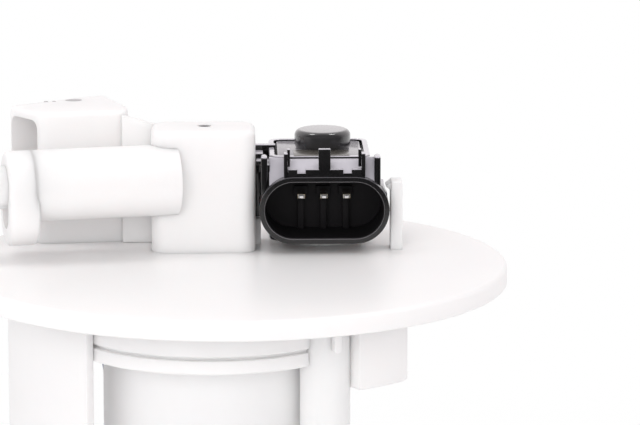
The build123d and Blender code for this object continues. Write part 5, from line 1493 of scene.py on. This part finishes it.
# ---- hardware under the flange
@dataclass
class FilterUnit:
    """Filter can with its regulator and clip, and the pleated paper inside."""

    place: Point2 = FILTER
    pleats: int = 30

    def can(self) -> None:
        """Can with its weld rim, ribs and regulator cup, notched for the front rod boss."""
        mould = Mould().lathe([
            (17.9, -5.52), (24.7, -5.52), (24.95, -5.62), (25.0, -5.9), (25.0, -7.7), (24.7, -8.0), (20.1, -8.0),
            (19.65, -8.2), (19.5, -8.7), (19.5, -56.8), (19.2, -58.0), (18.4, -59.2), (17.4, -59.85), (16.4, -60.0),
            (11.6, -60.0), (11.15, -60.2), (11.0, -60.6), (11.0, -69.7), (10.8, -70.0), (9.62, -70.0), (9.62, -60.0),
            (6.7, -60.0), (6.7, -58.4), (17.9, -58.4)], self.place, 144)
        mould.carve(Mould().cylinder(4.7, -9, 1, RODS[0], 48))
        mould.spokes((10.8, -0.6, -65.0), (15.5, 0.6, -59.6), 0.2, range(20, 380, 60), self.place)
        mould.piece("filter_can_shell", Body.TANK, NATURAL, ["filter_can"])

    def regulator(self) -> None:
        """Crimped regulator body and the slotted clip under it."""
        body = Mould().lathe([
            (0, -55.2), (4.2, -55.2), (4.5, -55.5), (4.5, -57.0), (6.5, -57.0), (6.5, -58.4), (4.9, -58.4),
            (4.9, -60.0), (6.5, -60.0), (6.5, -60.6), (9.3, -60.6), (9.6, -60.9), (9.6, -63.1), (9.3, -63.5),
            (8.3, -63.6), (7.9, -64.4), (7.2, -68.0), (1.6, -68.0), (1.6, -66.0), (0, -66.0)], self.place, 96)
        body.piece("regulator_shells", Body.TANK, STEEL, ["pressure_regulator"])
        clip = Mould().lathe([
            (4.0, -71.0), (12.0, -71.0), (12.2, -70.8), (12.2, -67.2), (12.0, -67.0), (11.2, -67.0), (11.2, -70.0),
            (9.2, -70.0), (8.2, -68.05), (4.0, -68.05)], self.place, 96)
        x, y = self.place
        cross = Mould().block((x - 13.2, y - 2, -69.4), (x + 13.2, y + 2, -66), 0)
        clip.carve(cross, Mould().block((x - 2, y - 13.2, -69.4), (x + 2, y + 13.2, -66), 0))
        clip.piece("regulator_clip_ring", Body.TANK, BLACK, ["regulator_clip"])

    def paper(self) -> None:
        """Folded paper: one fold repeated round the core."""
        half = math.pi / self.pleats
        inner, outer, core = 12.8, 17.25, 7.05
        loop = [(core, -half), (inner, -half), (inner + 0.3, -half * 0.9), (outer, -half * 0.12), (outer, half * 0.12),
                (inner + 0.3, half * 0.9), (inner, half), (core, half)]
        fold = Mould().prism([(r * math.cos(a), r * math.sin(a)) for r, a in loop], (-48.85, -3.05))
        ring = [(*self.place, 0.0)] * self.pleats
        row = GeometryKit.repeat("filter_paper_pleats", fold, ring, PAPER, turn=2 * half)
        dress(row, Body.TANK, PAPER, ["filter_element"])

    def build(self) -> None:
        """Make can, regulator, clip and paper."""
        self.can()
        self.regulator()
        self.paper()


@dataclass
class GuideHardware:
    """Rods, retaining rings, sleeves, hose clamps, vent valve and inner plugs."""

    vent: Point2 = VENT
    slot: Point2 = (14.0, 3.0)
    slot_level: float = -15.4
    slot_angles: tuple[float, ...] = (0.9, 60.9, 120.9)
    clamps_at: tuple[tuple[str, Point2, float, Body], ...] = (
        ("hose_clamp_upper", HOSE_TOP, -7.5, Body.TANK), ("hose_clamp_lower", HOSE_FOOT, -95.5, Body.CUP))

    def rods(self) -> None:
        """Two rods with their push-on rings, and the sleeves that run on them."""
        rods, rings, sleeves = Mould(), Mould(), Mould()
        for x, y in RODS:
            place = (x, y)
            rods.lathe([(0, -2.55), (2.7, -2.55), (3.0, -2.9), (3.0, -122.7), (2.5, -122.7), (2.5, -123.5),
                        (3.0, -123.5), (3.0, -124.6), (2.5, -125.1), (0, -125.1)], place, 64)
            clip = Mould().lathe([(2.52, -123.5), (4.3, -123.5), (4.4, -123.4), (4.4, -122.8), (4.3, -122.7),
                                  (2.52, -122.7)], place, 64)
            rings.add(clip.carve(Mould().block((x - 1, y, -125), (x + 1, y + 6, -121), 0)))
            sleeves.lathe([(3.05, -94.0), (5.2, -94.0), (5.5, -94.3), (5.5, -95.4), (4.75, -95.8), (4.75, -104.6),
                           (5.5, -105.2), (5.5, -106.98), (4.9, -106.98), (4.9, -122.2), (4.6, -122.5),
                           (3.3, -122.5), (3.05, -122.2)], place, 64)
            sleeves.spokes((4.6, -0.4, -105.0), (5.45, 0.4, -95.6), 0.1, range(0, 360, 45), place)
        rods.piece("guide_rod_pair", Body.TANK, STEEL, ["guide_rods"])
        rings.piece("retaining_ring_pair", Body.TANK, STEEL, ["rod_retaining_rings"])
        sleeves.piece("guide_sleeve_pair", Body.CUP, NATURAL, ["guide_sleeves"])

    def clamps(self) -> None:
        """Crimped ear clamps over the hose ends."""
        for name, (x, y), z, body in self.clamps_at:
            band = Mould().lathe([(4.02, z - 2.2), (4.5, z - 2.2), (4.6, z - 2.05), (4.6, z + 2.05), (4.5, z + 2.2),
                                  (4.02, z + 2.2)], (x, y), 72)
            band.block((x + 4.4, y - 1.2, z - 2.15), (x + 6.2, y - 0.75, z + 2.15), 0.12)
            band.block((x + 4.4, y + 0.75, z - 2.15), (x + 6.2, y + 1.2, z + 2.15), 0.12)
            band.block((x + 5.75, y - 1.2, z - 2.15), (x + 6.2, y + 1.2, z + 2.15), 0.15)
            band.piece(name + "_band", body, STEEL, [name])

    def vent_valve(self) -> None:
        """Slotted cage and the float inside it."""
        cage = Mould().lathe([
            (2.0, -1.4), (2.0, -0.02), (8.0, -0.02), (8.0, -27.4), (7.4, -28.0), (3.2, -28.0), (3.0, -27.8),
            (3.0, -26.5), (6.8, -26.5), (6.8, -1.4)], self.vent, 96)
        cage.lathe([(7.9, -4.2), (8.7, -4.2), (8.7, -5.4), (7.9, -5.6)], self.vent, 96)
        for angle in self.slot_angles:
            slot = Mould().prism(obround(*self.slot, 8), (-9.5, 9.5)).turn(ALONG_X)
            cage.carve(Mould().add(slot, heading(*self.vent, self.slot_level, angle)))
        cage.piece("vent_valve_cage", Body.TANK, NATURAL, ["vent_cage"])
        float_body = Mould().lathe([
            (0, -26.5), (5.8, -26.5), (6.2, -26.1), (6.2, -12.9), (5.8, -12.5), (3.5, -12.5), (3.3, -12.0),
            (1.6, -5.5), (0, -5.4)], self.vent, 72)
        float_body.spokes((2.0, -0.4, -12.7), (3.6, 0.4, -10.5), 0.1, range(0, 360, 60), self.vent)
        float_body.piece("vent_valve_float", Body.VENT, DARK, ["vent_float"])

    def plugs(self) -> None:
        """Inner plugs of the harness with their grips and latches."""
        upper = Mould().block((10.52, -2.8, -12.5), (19.48, 2.8, -0.22), 0.4, 3)
        upper.block((13.0, -3.6, -12.4), (17.0, -2.7, -7.0), 0.25)
        upper.block((13.4, -3.75, -9.2), (16.6, -3.3, -7.9), 0.2)
        for x in (11.4, 12.3, 17.7, 18.6):
            upper.block((x - 0.2, -3.0, -12.2), (x + 0.2, 3.0, -7.0), 0.1)
        plug = Mould().add(upper, heading(*HOOD_MOUTH, 0, HOOD_ANGLE))
        plug.piece("harness_plug_upper_body", Body.TANK, BLACK, ["harness_plug_upper"])
        lower = Mould().block((-11.3, 4.2, -104.95), (-3.7, 9.8, -97.9), 0.3)
        lower.block((-12.3, 3.2, -98.0), (-2.7, 10.8, -93.0), 0.7, 3)
        for z in (-97.0, -95.8, -94.6):
            lower.block((-12.4, 3.1, z - 0.2), (-2.6, 10.9, z + 0.2), 0.1)
        lower.block((-9.3, 2.55, -99.5), (-5.7, 3.4, -94.5), 0.2)
        lower.piece("harness_plug_pump_body", Body.CUP, BLACK, ["harness_plug_pump"])

    def build(self) -> None:
        """Make all the hardware."""
        self.rods()
        self.clamps()
        self.vent_valve()
        self.plugs()


# ---- reservoir
@dataclass
class Reservoir:
    """Cup, lid, pump and strainer that slide on the guide rods."""

    radius: float = 42.0
    flat: float = 32.0
    wall: float = 1.8
    low: float = -187.0
    feet: float = -190.0
    cup_top: float = LID_SEAT
    lid_top: float = LID_TOP
    cut_low: float = -115.0
    cut_high: float = -105.0
    valve: Point2 = (0.0, -29.0)
    valve_pitch: float = 5.0
    jet: Point2 = (-29.5, 0.0)
    windows: tuple[Point2, Point2] = ((-27.0, -14.0), (10.0, 29.0))
    rail_levels: Point2 = (-170.0, -120.0)
    strap_angles: tuple[int, ...] = (90, 160, 200, 270)
    rib_angles: tuple[int, ...] = (68, 112, 136, 180, 224, 248, 292)
    web_reach: tuple[tuple[int, float], ...] = ((30, 29.0), (100, 29.0), (150, 29.0), (215, 24.6), (320, 29.0))
    band_levels: Point2 = (-184.0, -124.5)
    strainer_level: float = -183.85

    def outline(self, inset: float) -> list[Point2]:
        """Round outline with a flat side and rounded corners.

        Args:
            inset: how far the outline lies inside the largest one.

        Returns:
            The points of the loop.
        """
        radius, flat, round_off = self.radius - inset, self.flat - inset, max(3.0 - inset, 0.6)
        reach = radius - round_off
        height = math.sqrt(reach ** 2 - (flat - round_off) ** 2)
        turn = math.degrees(math.atan2(height, flat - round_off))
        big = arc((0, 0), radius, turn, 360 - turn, 120)
        return big + arc((flat - round_off, -height), round_off, -turn, 0, 6)[1:] + \
            arc((flat - round_off, height), round_off, 0, turn, 6)[:-1]

    def rings(self, rows: Sequence[Point2]) -> list[list[Point3]]:
        """Outline loops from (inset, Z) rows."""
        return [raised(self.outline(inset), z) for inset, z in rows]

    def cup(self) -> None:
        """Cup with its feet, valve holes, sender rails, latch nibs and stiffening ribs."""
        mould = Mould().loft(self.rings([
            (0.9, self.low), (0.25, self.low + 0.25), (0.0, self.low + 0.9), (0.0, self.cup_top - 0.3),
            (0.3, self.cup_top), (1.5, self.cup_top), (self.wall, self.cup_top - 0.3), (self.wall, self.low + 3.0),
            (2.8, self.low + 2.0)]))
        floor = (self.feet, self.low + 4.0)
        holes = [Mould().cylinder(2.0, *floor, self.valve), Mould().cylinder(2.5, *floor, self.jet)]
        for angle in range(0, 360, 60):
            turn, pitch = math.radians(angle), self.valve_pitch
            place = (pitch * math.cos(turn) + self.valve[0], pitch * math.sin(turn) + self.valve[1])
            holes.append(Mould().cylinder(1.6, *floor, place, 24))
        mould.carve(*holes)
        for middle in (90, 180, 270):
            foot = polar_sector(40.5, 37.5, middle - 38, middle + 38, 40)
            mould.prism(foot, (self.feet, self.low + 0.1), bottom=0.4, steps=2)
        bottom, top = self.rail_levels
        for side in (-1, 1):
            for x0, x1, near in ((31.8, 34.0, 15.3), (34.0, 34.8, 13.8)):
                y0, y1 = sorted((side * near, side * 17.3))
                mould.block((x0, y0, bottom), (x1, y1, top), 0.15)
        mould.block((31.8, -6, bottom - 2.5), (34.0, 6, bottom - 0.3), 0.2)
        for angle in self.strap_angles:
            nib = Mould().prism([(41.7, 0), (43.0, -2.0), (41.7, -6.0)], (-3, 3), 0, 0.1, 0.1, 2).turn(FACING_FRONT)
            mould.add(nib, heading(0, 0, self.cup_top - 5, angle))
        mould.spokes((41.6, -0.7, -183), (42.7, 0.7, -125), 0.3, self.rib_angles)
        for height in self.band_levels:
            mould.loft(self.rings([(0.1, height - 0.7), (-0.45, height - 0.45), (-0.45, height + 0.45),
                                   (0.1, height + 0.7)]), closed=True)
        mould.piece("reservoir_bowl", Body.CUP, NATURAL, ["reservoir_cup"])

    def lid(self) -> None:
        """Lid with its skirt, straps, webs and rims round the holes."""
        bottom, top = self.cup_top, self.lid_top
        mould = Mould().loft(self.rings([(0.25, bottom), (0.0, bottom + 0.25), (0.0, top - 0.5), (0.15, top - 0.15),
                                         (0.5, top)]))
        skirt = Mould().loft(self.rings([(1.85, bottom + 0.05), (1.85, bottom - 3.6), (2.2, bottom - 4.0),
                                         (3.2, bottom - 4.0), (3.2, bottom + 0.05)]), closed=True)
        mould.add(skirt.carve(*[Mould().cylinder(5.7, self.cut_low, bottom, rod, 48) for rod in RODS]))
        through = (self.cut_low, self.cut_high)
        seats = [Mould().cylinder(4.93, *through, rod, 48) for rod in RODS]
        windows = [Mould().cylinder(5.0, *through, place, 64) for place in self.windows]
        mould.carve(*seats, *windows, Mould().cylinder(16.2, *through, steps=96))
        mould.lathe([(16.25, top - 0.1), (17.4, top - 0.1), (17.3, top + 0.7), (17.1, top + 0.9), (16.5, top + 0.9),
                     (16.25, top + 0.7)], steps=120)
        for place in self.windows:
            mould.lathe([(5.05, top - 0.1), (6.1, top - 0.1), (6.0, top + 1.1), (5.8, top + 1.3), (5.3, top + 1.3),
                         (5.05, top + 1.1)], place, 72)
        for angle in self.strap_angles:
            mould.add(self.strap(), heading(0, 0, 0, angle))
        for angle, reach in self.web_reach:
            mould.spokes((17.2, -0.7, top - 0.2), (reach, 0.7, top + 2.5), 0.3, [angle])
        mould.piece("reservoir_cover", Body.CUP, NATURAL, ["reservoir_lid"])

    def strap(self) -> Mould:
        """Snap strap with its window, lying along X.

        Returns:
            The strap.
        """
        top = self.lid_top
        strap = Mould().block((42.2, -5, self.cup_top - 13), (43.6, 5, top - 0.1), 0.35, 3)
        strap.block((41.3, -4.96, self.cup_top + 0.15), (43.45, 4.96, top - 0.06), 0.3, 3)
        strap.carve(Mould().block((41, -3.3, self.cup_top - 11.2), (45, 3.3, self.cup_top - 4), 0.0))
        return strap

    def pump(self) -> None:
        """Steel casing with rolled edges, and the end cap with nipple and socket."""
        casing = Mould().lathe([
            (17.2, -174.8), (18.5, -174.8), (19.0, -174.3), (19.0, -161.4), (18.85, -161.2), (18.85, -160.2),
            (19.0, -160.0), (19.0, -124.6), (18.85, -124.4), (18.85, -123.4), (19.0, -123.2), (19.0, -110.7),
            (18.5, -110.2), (17.2, -110.2), (17.2, -110.98), (18.0, -110.98), (18.0, -174.02),
            (17.2, -174.02)], steps=144)
        casing.piece("pump_tube", Body.CUP, STEEL, ["pump_casing"])
        cap = Mould().lathe([
            (0, -122.9), (17.9, -122.9), (17.9, -111.02), (16.9, -111.02), (16.0, -110.9), (16.0, -104.4),
            (15.6, -103.4), (14.6, -103.0), (0, -103.0)], steps=120)
        cap.carve(Mould().block((-11.5, 4.0, -105.0), (-3.5, 10.0, -95), 0))
        sizes = ((10.4, 8.4, 0.9), (10.0, 8.0, 0.8), (8.0, 6.0, 0.3))
        shroud, mouth, hollow = (rounded_rectangle(PUMP_PLUG, *size, 4) for size in sizes)
        rows = ((shroud, -103.5), (shroud, -98.2), (mouth, -98.0), (hollow, -98.0), (hollow, -103.5))
        cap.loft([raised(loop, z) for loop, z in rows], closed=True)
        cap.lathe([(2.0, -103.1), (4.1, -103.1), (3.3, -102.2)] + barbs(-89.0, -1), HOSE_FOOT, 48)
        cap.spokes((6.0, -0.5, -103.4), (14.8, 0.5, -102.2), 0.2, (20, 140, 200, 260, 320))
        cap.piece("pump_end_moulding", Body.CUP, BLACK, ["pump_end_cap"])

    def strainer(self) -> None:
        """Flat mesh bag: crowned between its welded edge and the neck, with a shallow weld line."""
        steps, rows = 96, []
        section = [(0.02, -0.93), (5.0, -0.97), (9.5, -0.92), (12.2, -0.72), (13.8, -0.34), (14.5, -0.12),
                   (15.45, -0.08), (15.5, 0.0), (15.45, 0.08), (14.5, 0.12), (13.8, 0.30), (12.2, 0.62),
                   (9.5, 0.84), (5.0, 0.92), (0.02, 0.94)]
        for radius, height in section:
            ring = []
            for number in range(steps):
                turn = 2 * math.pi * number / steps
                slack = 0.10 * math.sin(9 * turn) * math.sin(math.pi * min(radius / 14.0, 1.0))
                ring.append((radius * math.cos(turn), radius * math.sin(turn),
                             self.strainer_level + height * (1.0 - abs(slack)) + 0.05 * slack))
            rows.append(ring)
        bag = Mould().loft(rows).piece("strainer_bag", Body.CUP, CLOTH, ["strainer_sock"], 50)

    def build(self) -> None:
        """Make cup, lid, pump and strainer."""
        self.cup()
        self.lid()
        self.pump()
        self.strainer()


# ---- level sender
@dataclass
class LevelSender:
    """Sender frame with its card, and the arm with its float."""

    pivot: Point2 = (-1.0, -147.0)
    rest_angle: float = 16.0
    wire_x: float = 40.9
    wire_radius: float = 1.1
    wire_end: float = 69.2
    cap_x: float = 66.5
    arm: float = 88.0
    float_x: Point2 = (47.2, 66.2)
    float_half: Point2 = (15.0, 8.0)
    track_radii: tuple[Point2, Point2] = ((13.2, 0.75), (10.4, 0.45))
    track_start: float = -22.0
    track_step: float = 2.5
    track_count: int = 32

    def frame(self) -> None:
        """Frame with its card recess, pivot pin, wire dock and stop."""
        y, z = self.pivot
        mould = Mould().block((32.0, -15, -170), (34.0, 15, -120), 0.25, 3)
        mould.carve(Mould().block((33.4, y - 7.5, z + 4.5), (36, y + 13.3, z + 20), 0))
        mould.add(Mould().lathe([(0, 0), (2.5, 0), (2.5, 6.6), (2.2, 6.9), (0, 6.9)], (0, 0), 48), along_x(32.5, y, z))
        dock = Mould().block((34.0, -5, -127), (39.0, 5, -120), 0.3, 3)
        dock.carve(Mould().block((35.2, -3.8, -125), (37.8, 3.8, -118), 0))
        mould.add(dock)
        mould.block((34.0, -13.3, -158.22), (37.0, -10.8, -153.22), 0.25)
        for low in (-168.0, -164.0, -160.0):
            mould.block((33.9, -9.0, low), (34.5, 9.0, low + 1.0), 0.15)
        mould.piece("sender_frame_moulding", Body.CUP, NATURAL, ["sender_frame"])

    def card(self) -> None:
        """Ceramic card, and its printed tracks as short strips on two arcs."""
        y, z = self.pivot
        card, tracks = Mould().block((33.4, y - 7.3, z + 4.7), (34.2, y + 13.1, z + 19.8), 0.06), Mould()
        card.piece("resistor_card", Body.CUP, CERAMIC, ["sender_card"])
        for radius, half in self.track_radii:
            for number in range(self.track_count):
                turn = math.radians(self.track_start + number * self.track_step)
                strip = Mould().block((0, -0.19, -half), (0.03, 0.19, half), 0)
                spot = Matrix.Translation((34.2, y + radius * math.sin(turn), z + radius * math.cos(turn)))
                tracks.add(strip, spot @ Matrix.Rotation(-turn, 4, "X"))
        tracks.piece("resistor_tracks", Body.CUP, CARBON)

    def swing(self) -> Matrix:
        """Matrix of the arm's own frame."""
        turn = Matrix.Rotation(math.radians(self.rest_angle), 4, "X")
        return Matrix.Translation((0, self.pivot[0], self.pivot[1])) @ turn

    def holder(self) -> None:
        """Arm holder: hub, pointer, rib and the two wire clips."""
        hub = Mould().lathe([(2.55, 0), (6.7, 0), (7.0, 0.3), (7.0, 4.2), (6.7, 4.5), (5.9, 4.5), (5.6, 4.1),
                             (4.4, 4.1), (4.1, 4.5), (2.8, 4.5), (2.55, 4.3)], (0, 0), 72)
        bar = Mould().block((35.1, -17, -2.4), (37.5, 8, 2.4), 0.3, 3)
        bar.block((35.1, -3, 0), (36.7, 3, 15), 0.3, 3)
        bar.carve(Mould().add(Mould().cylinder(2.6, 0, 9, steps=48), along_x(33, 0, 0)))
        for low, high in ((-17, -12), (5, 8)):
            clip = Mould().block((35.1, low, -2.4), (42.8, high, 2.4), 0.35, 3)
            slot = Mould().cylinder(1.12, -30, 30).turn(FACING_FRONT)
            bar.add(clip.carve(Mould().add(slot, Matrix.Translation((self.wire_x, 0, 0)))))
        bar.add(hub, along_x(35.1, 0, 0))
        Mould().add(bar, self.swing()).piece("arm_holder_moulding", Body.ARM, BLACK, ["arm_holder"])

    def wire(self) -> None:
        """Bent arm wire and the cap that keeps the float on it."""
        swing, x, reach = self.swing(), self.wire_x, self.arm
        points = [(x, 8, 0), (x, -40, 0), (x, 5.5 - reach, 0), (x, 1.0 - reach, 0), (x + 1.0, -reach, 0),
                  (x + 5.5, -reach, 0), (x + 14, -reach, 0), (self.wire_end, -reach, 0)]
        route = [tuple(swing @ Vector(point)) for point in points]
        wire = GeometryKit.tube("float_arm_rod", route, self.wire_radius, DRAWN, sides=24)
        dress(wire, Body.ARM, DRAWN, ["float_arm_wire"], 50)
        cap = Mould().lathe([(1.12, 0), (2.8, 0), (3.0, 0.2), (3.0, 1.0), (2.6, 1.4), (1.12, 1.4)], (0, 0), 48)
        cap = Mould().add(cap, swing @ along_x(self.cap_x, -reach, 0))
        cap.piece("float_push_cap", Body.ARM, STEEL, ["float_clip"])

    def float_block(self) -> None:
        """Closed-cell float with rounded edges and its bore."""
        (left, right), (half, rise) = self.float_x, self.float_half
        block = Mould().block((left, -self.arm - half, -rise), (right, half - self.arm, rise), 2.0, 5)
        block.carve(Mould().add(Mould().cylinder(1.25, 0, 40), along_x(40, -self.arm, 0)))
        Mould().add(block, self.swing()).piece("level_float_block", Body.FLOAT, FOAM, ["float_body"])

    def build(self) -> None:
        """Make frame, card, holder, wire and float."""
        self.frame()
        self.card()
        self.holder()
        self.wire()
        self.float_block()


# ---- carried-over nodes
NODE_FINISHES: dict[str, Finish] = {
    "natural_plastic": NATURAL, "black_plastic": BLACK, "dark_plastic": DARK, "steel": STEEL,
    "spring_steel": SPRING, "tinned_brass": TINNED, "rubber": RUBBER, "filter_paper": PAPER,
    "filter_cloth": CLOTH, "ferrite": FERRITE, "carbon": CARBON, "float_foam": FOAM, "circuit": CIRCUIT,
    "ceramic": CERAMIC, "wire_pump": RED_WIRE, "wire_sender": BLUE_WIRE}


def dress_nodes(frame: dict) -> None:
    """Give every CAD node the finish of its material slot.

    Args:
        frame: the loaded CAD frame.
    """
    slots = {part["node"]: part["material_slot"] for part in frame["record"]["subparts"]}
    for name, node in frame["nodes"].items():
        finish = NODE_FINISHES[slots[name]]
        node.data.materials.clear()
        node.data.materials.append(SHOP.get(finish))


# ---- studio
@dataclass(frozen=True)
class Lamp:
    """Soft square lamp: place and side in metres, power in watts."""

    name: str
    place: Point3
    side: float
    power: float
    glossy: bool = False


LAMPS = (
    Lamp("overhead_left", (-0.5, 0.12, 1.25), 0.30, 2.25, True),
    Lamp("overhead_right", (0.5, 0.12, 1.25), 0.30, 2.25, True),
    Lamp("front_fill", (-0.5, -1.7, 0.65), 1.2, 10.5),
    Lamp("low_fill", (0.4, -1.7, 0.1), 1.0, 3.0),
    Lamp("side_fill", (-1.7, -0.3, 0.1), 1.0, 1.0))
WHITE: Colour = (1, 1, 1, 1)


@dataclass
class Studio:
    """Camera, floor, world and lamps."""

    eye: Point3 = (-0.001835, -0.68701, 0.14767)
    look: Point3 = (0.02568, 0.98083, -0.19316)
    lens: float = 217.8
    sensor: float = 36.0
    aim: Point3 = (0, 0, -0.02)
    floor_z: float = -0.1902
    floor_radius: float = 14.0
    floor_colour: Colour = (0.93, 0.93, 0.935, 1)
    floor_back: Point2 = (-0.45, 0.35)
    floor_reflection: Point2 = (0.04, 1.0)
    shadow_edge: Point2 = (0.22, 0.75)
    shadow_glow: Point2 = (0.45, 1.0)
    sky_back: Point2 = (-0.35, 0.35)
    sky_reflection: Point2 = (0.10, 1.0)
    fill: float = 0.77
    fill_colour: Colour = (1.0, 0.968, 0.975, 1)

    @staticmethod
    def point_at(thing: bpy.types.Object, place: Point3, direction: Vector) -> None:
        """Move a camera or lamp and turn it to a direction.

        Args:
            thing: camera or lamp.
            place: its place in metres.
            direction: where it looks.
        """
        thing.location = place
        thing.rotation_mode = "QUATERNION"
        thing.rotation_quaternion = direction.to_track_quat("-Z", "Y")

    def camera(self) -> None:
        """Place the camera."""
        data = bpy.data.cameras.new("camera")
        data.sensor_width, data.lens = self.sensor, self.lens
        data.clip_start, data.clip_end = 0.05, 60.0
        camera = put("camera", data)
        self.point_at(camera, self.eye, Vector(self.look))
        bpy.context.scene.camera = camera

    def floor(self) -> None:
        """Lay a wide pale floor that stays white to the camera and keeps a soft shadow."""
        bm = bmesh.new()
        bmesh.ops.create_circle(bm, cap_ends=True, segments=96, radius=self.floor_radius)
        floor = put_mesh("floor", bm)
        floor.data.transform(Matrix.Translation((0, 0, self.floor_z)))
        material = bpy.data.materials.new("floor")
        material.use_nodes = True
        material.node_tree.nodes.clear()
        kit = NodeKit(material.node_tree)
        matte, glow, mix = (kit.add("ShaderNode" + kind) for kind in ("BsdfDiffuse", "Emission", "MixShader"))
        kit.feed(self.floor_colour, matte.inputs["Color"])
        path = kit.add("ShaderNodeLightPath").outputs
        glossy = path["Is Glossy Ray"]
        seen = kit.math("MAXIMUM", path["Is Camera Ray"], path["Is Transmission Ray"])
        place = kit.place()
        behind = kit.ramp(kit.split(place)["Y"], self.floor_back, self.floor_reflection)
        length = kit.add("ShaderNodeVectorMath", operation="LENGTH")
        kit.feed(place, length.inputs[0])
        away = kit.ramp(length.outputs["Value"], self.shadow_edge, self.shadow_glow)
        kit.feed(kit.mix(glossy, WHITE, behind), glow.inputs["Color"])
        share = kit.math("MAXIMUM", kit.times(seen, away), glossy)
        for index, value in enumerate((share, matte.outputs[0], glow.outputs[0])):
            kit.feed(value, mix.inputs[index])
        kit.feed(mix.outputs[0], kit.add("ShaderNodeOutputMaterial").inputs["Surface"])
        floor.data.materials.append(material)

    def world(self) -> None:
        """White to the camera and in reflections from behind, softer as fill light."""
        world = bpy.data.worlds.new("studio")
        bpy.context.scene.world = world
        world.use_nodes = True
        world.node_tree.nodes.clear()
        kit = NodeKit(world.node_tree)
        path = kit.add("ShaderNodeLightPath").outputs
        direction = kit.split(kit.add("ShaderNodeTexCoord").outputs["Generated"])
        reflected = kit.times(path["Is Glossy Ray"], kit.ramp(direction["Y"], self.sky_back, self.sky_reflection))
        shown = kit.math("MAXIMUM", path["Is Camera Ray"], path["Is Transmission Ray"])
        fill = kit.times(kit.less(1.0, kit.math("MAXIMUM", path["Is Glossy Ray"], shown)), self.fill)
        background = kit.add("ShaderNodeBackground")
        kit.feed(kit.mix(shown, self.fill_colour, WHITE), background.inputs["Color"])
        kit.feed(kit.plus(reflected, shown, fill), background.inputs["Strength"])
        kit.feed(background.outputs[0], kit.add("ShaderNodeOutputWorld").inputs["Surface"])

    def light(self, lamp: Lamp) -> None:
        """Place a lamp aimed at the object.

        Args:
            lamp: its place, size and power.
        """
        data = bpy.data.lights.new(lamp.name, "AREA")
        data.size, data.energy = lamp.side, lamp.power
        thing = put(lamp.name, data)
        self.point_at(thing, lamp.place, Vector(self.aim) - Vector(lamp.place))
        thing.visible_camera, thing.visible_glossy = False, lamp.glossy

    def build(self) -> None:
        """Make the whole studio."""
        self.camera()
        self.floor()
        self.world()
        for lamp in LAMPS:
            self.light(lamp)
        bpy.context.scene.view_settings.view_transform = "Standard"


def main() -> None:
    """Build the whole model."""
    logging.basicConfig(level=logging.INFO, format="%(name)s: %(message)s")
    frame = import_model()
    Studio().build()
    dress_nodes(frame)
    for assembly in (Linkage(), FlangeMoulding(), PressureSensor(), FilterUnit(), GuideHardware(), Reservoir(),
                     LevelSender()):
        log.info("building %s", type(assembly).__name__)
        assembly.build()


if __name__ == "__main__":
    main()
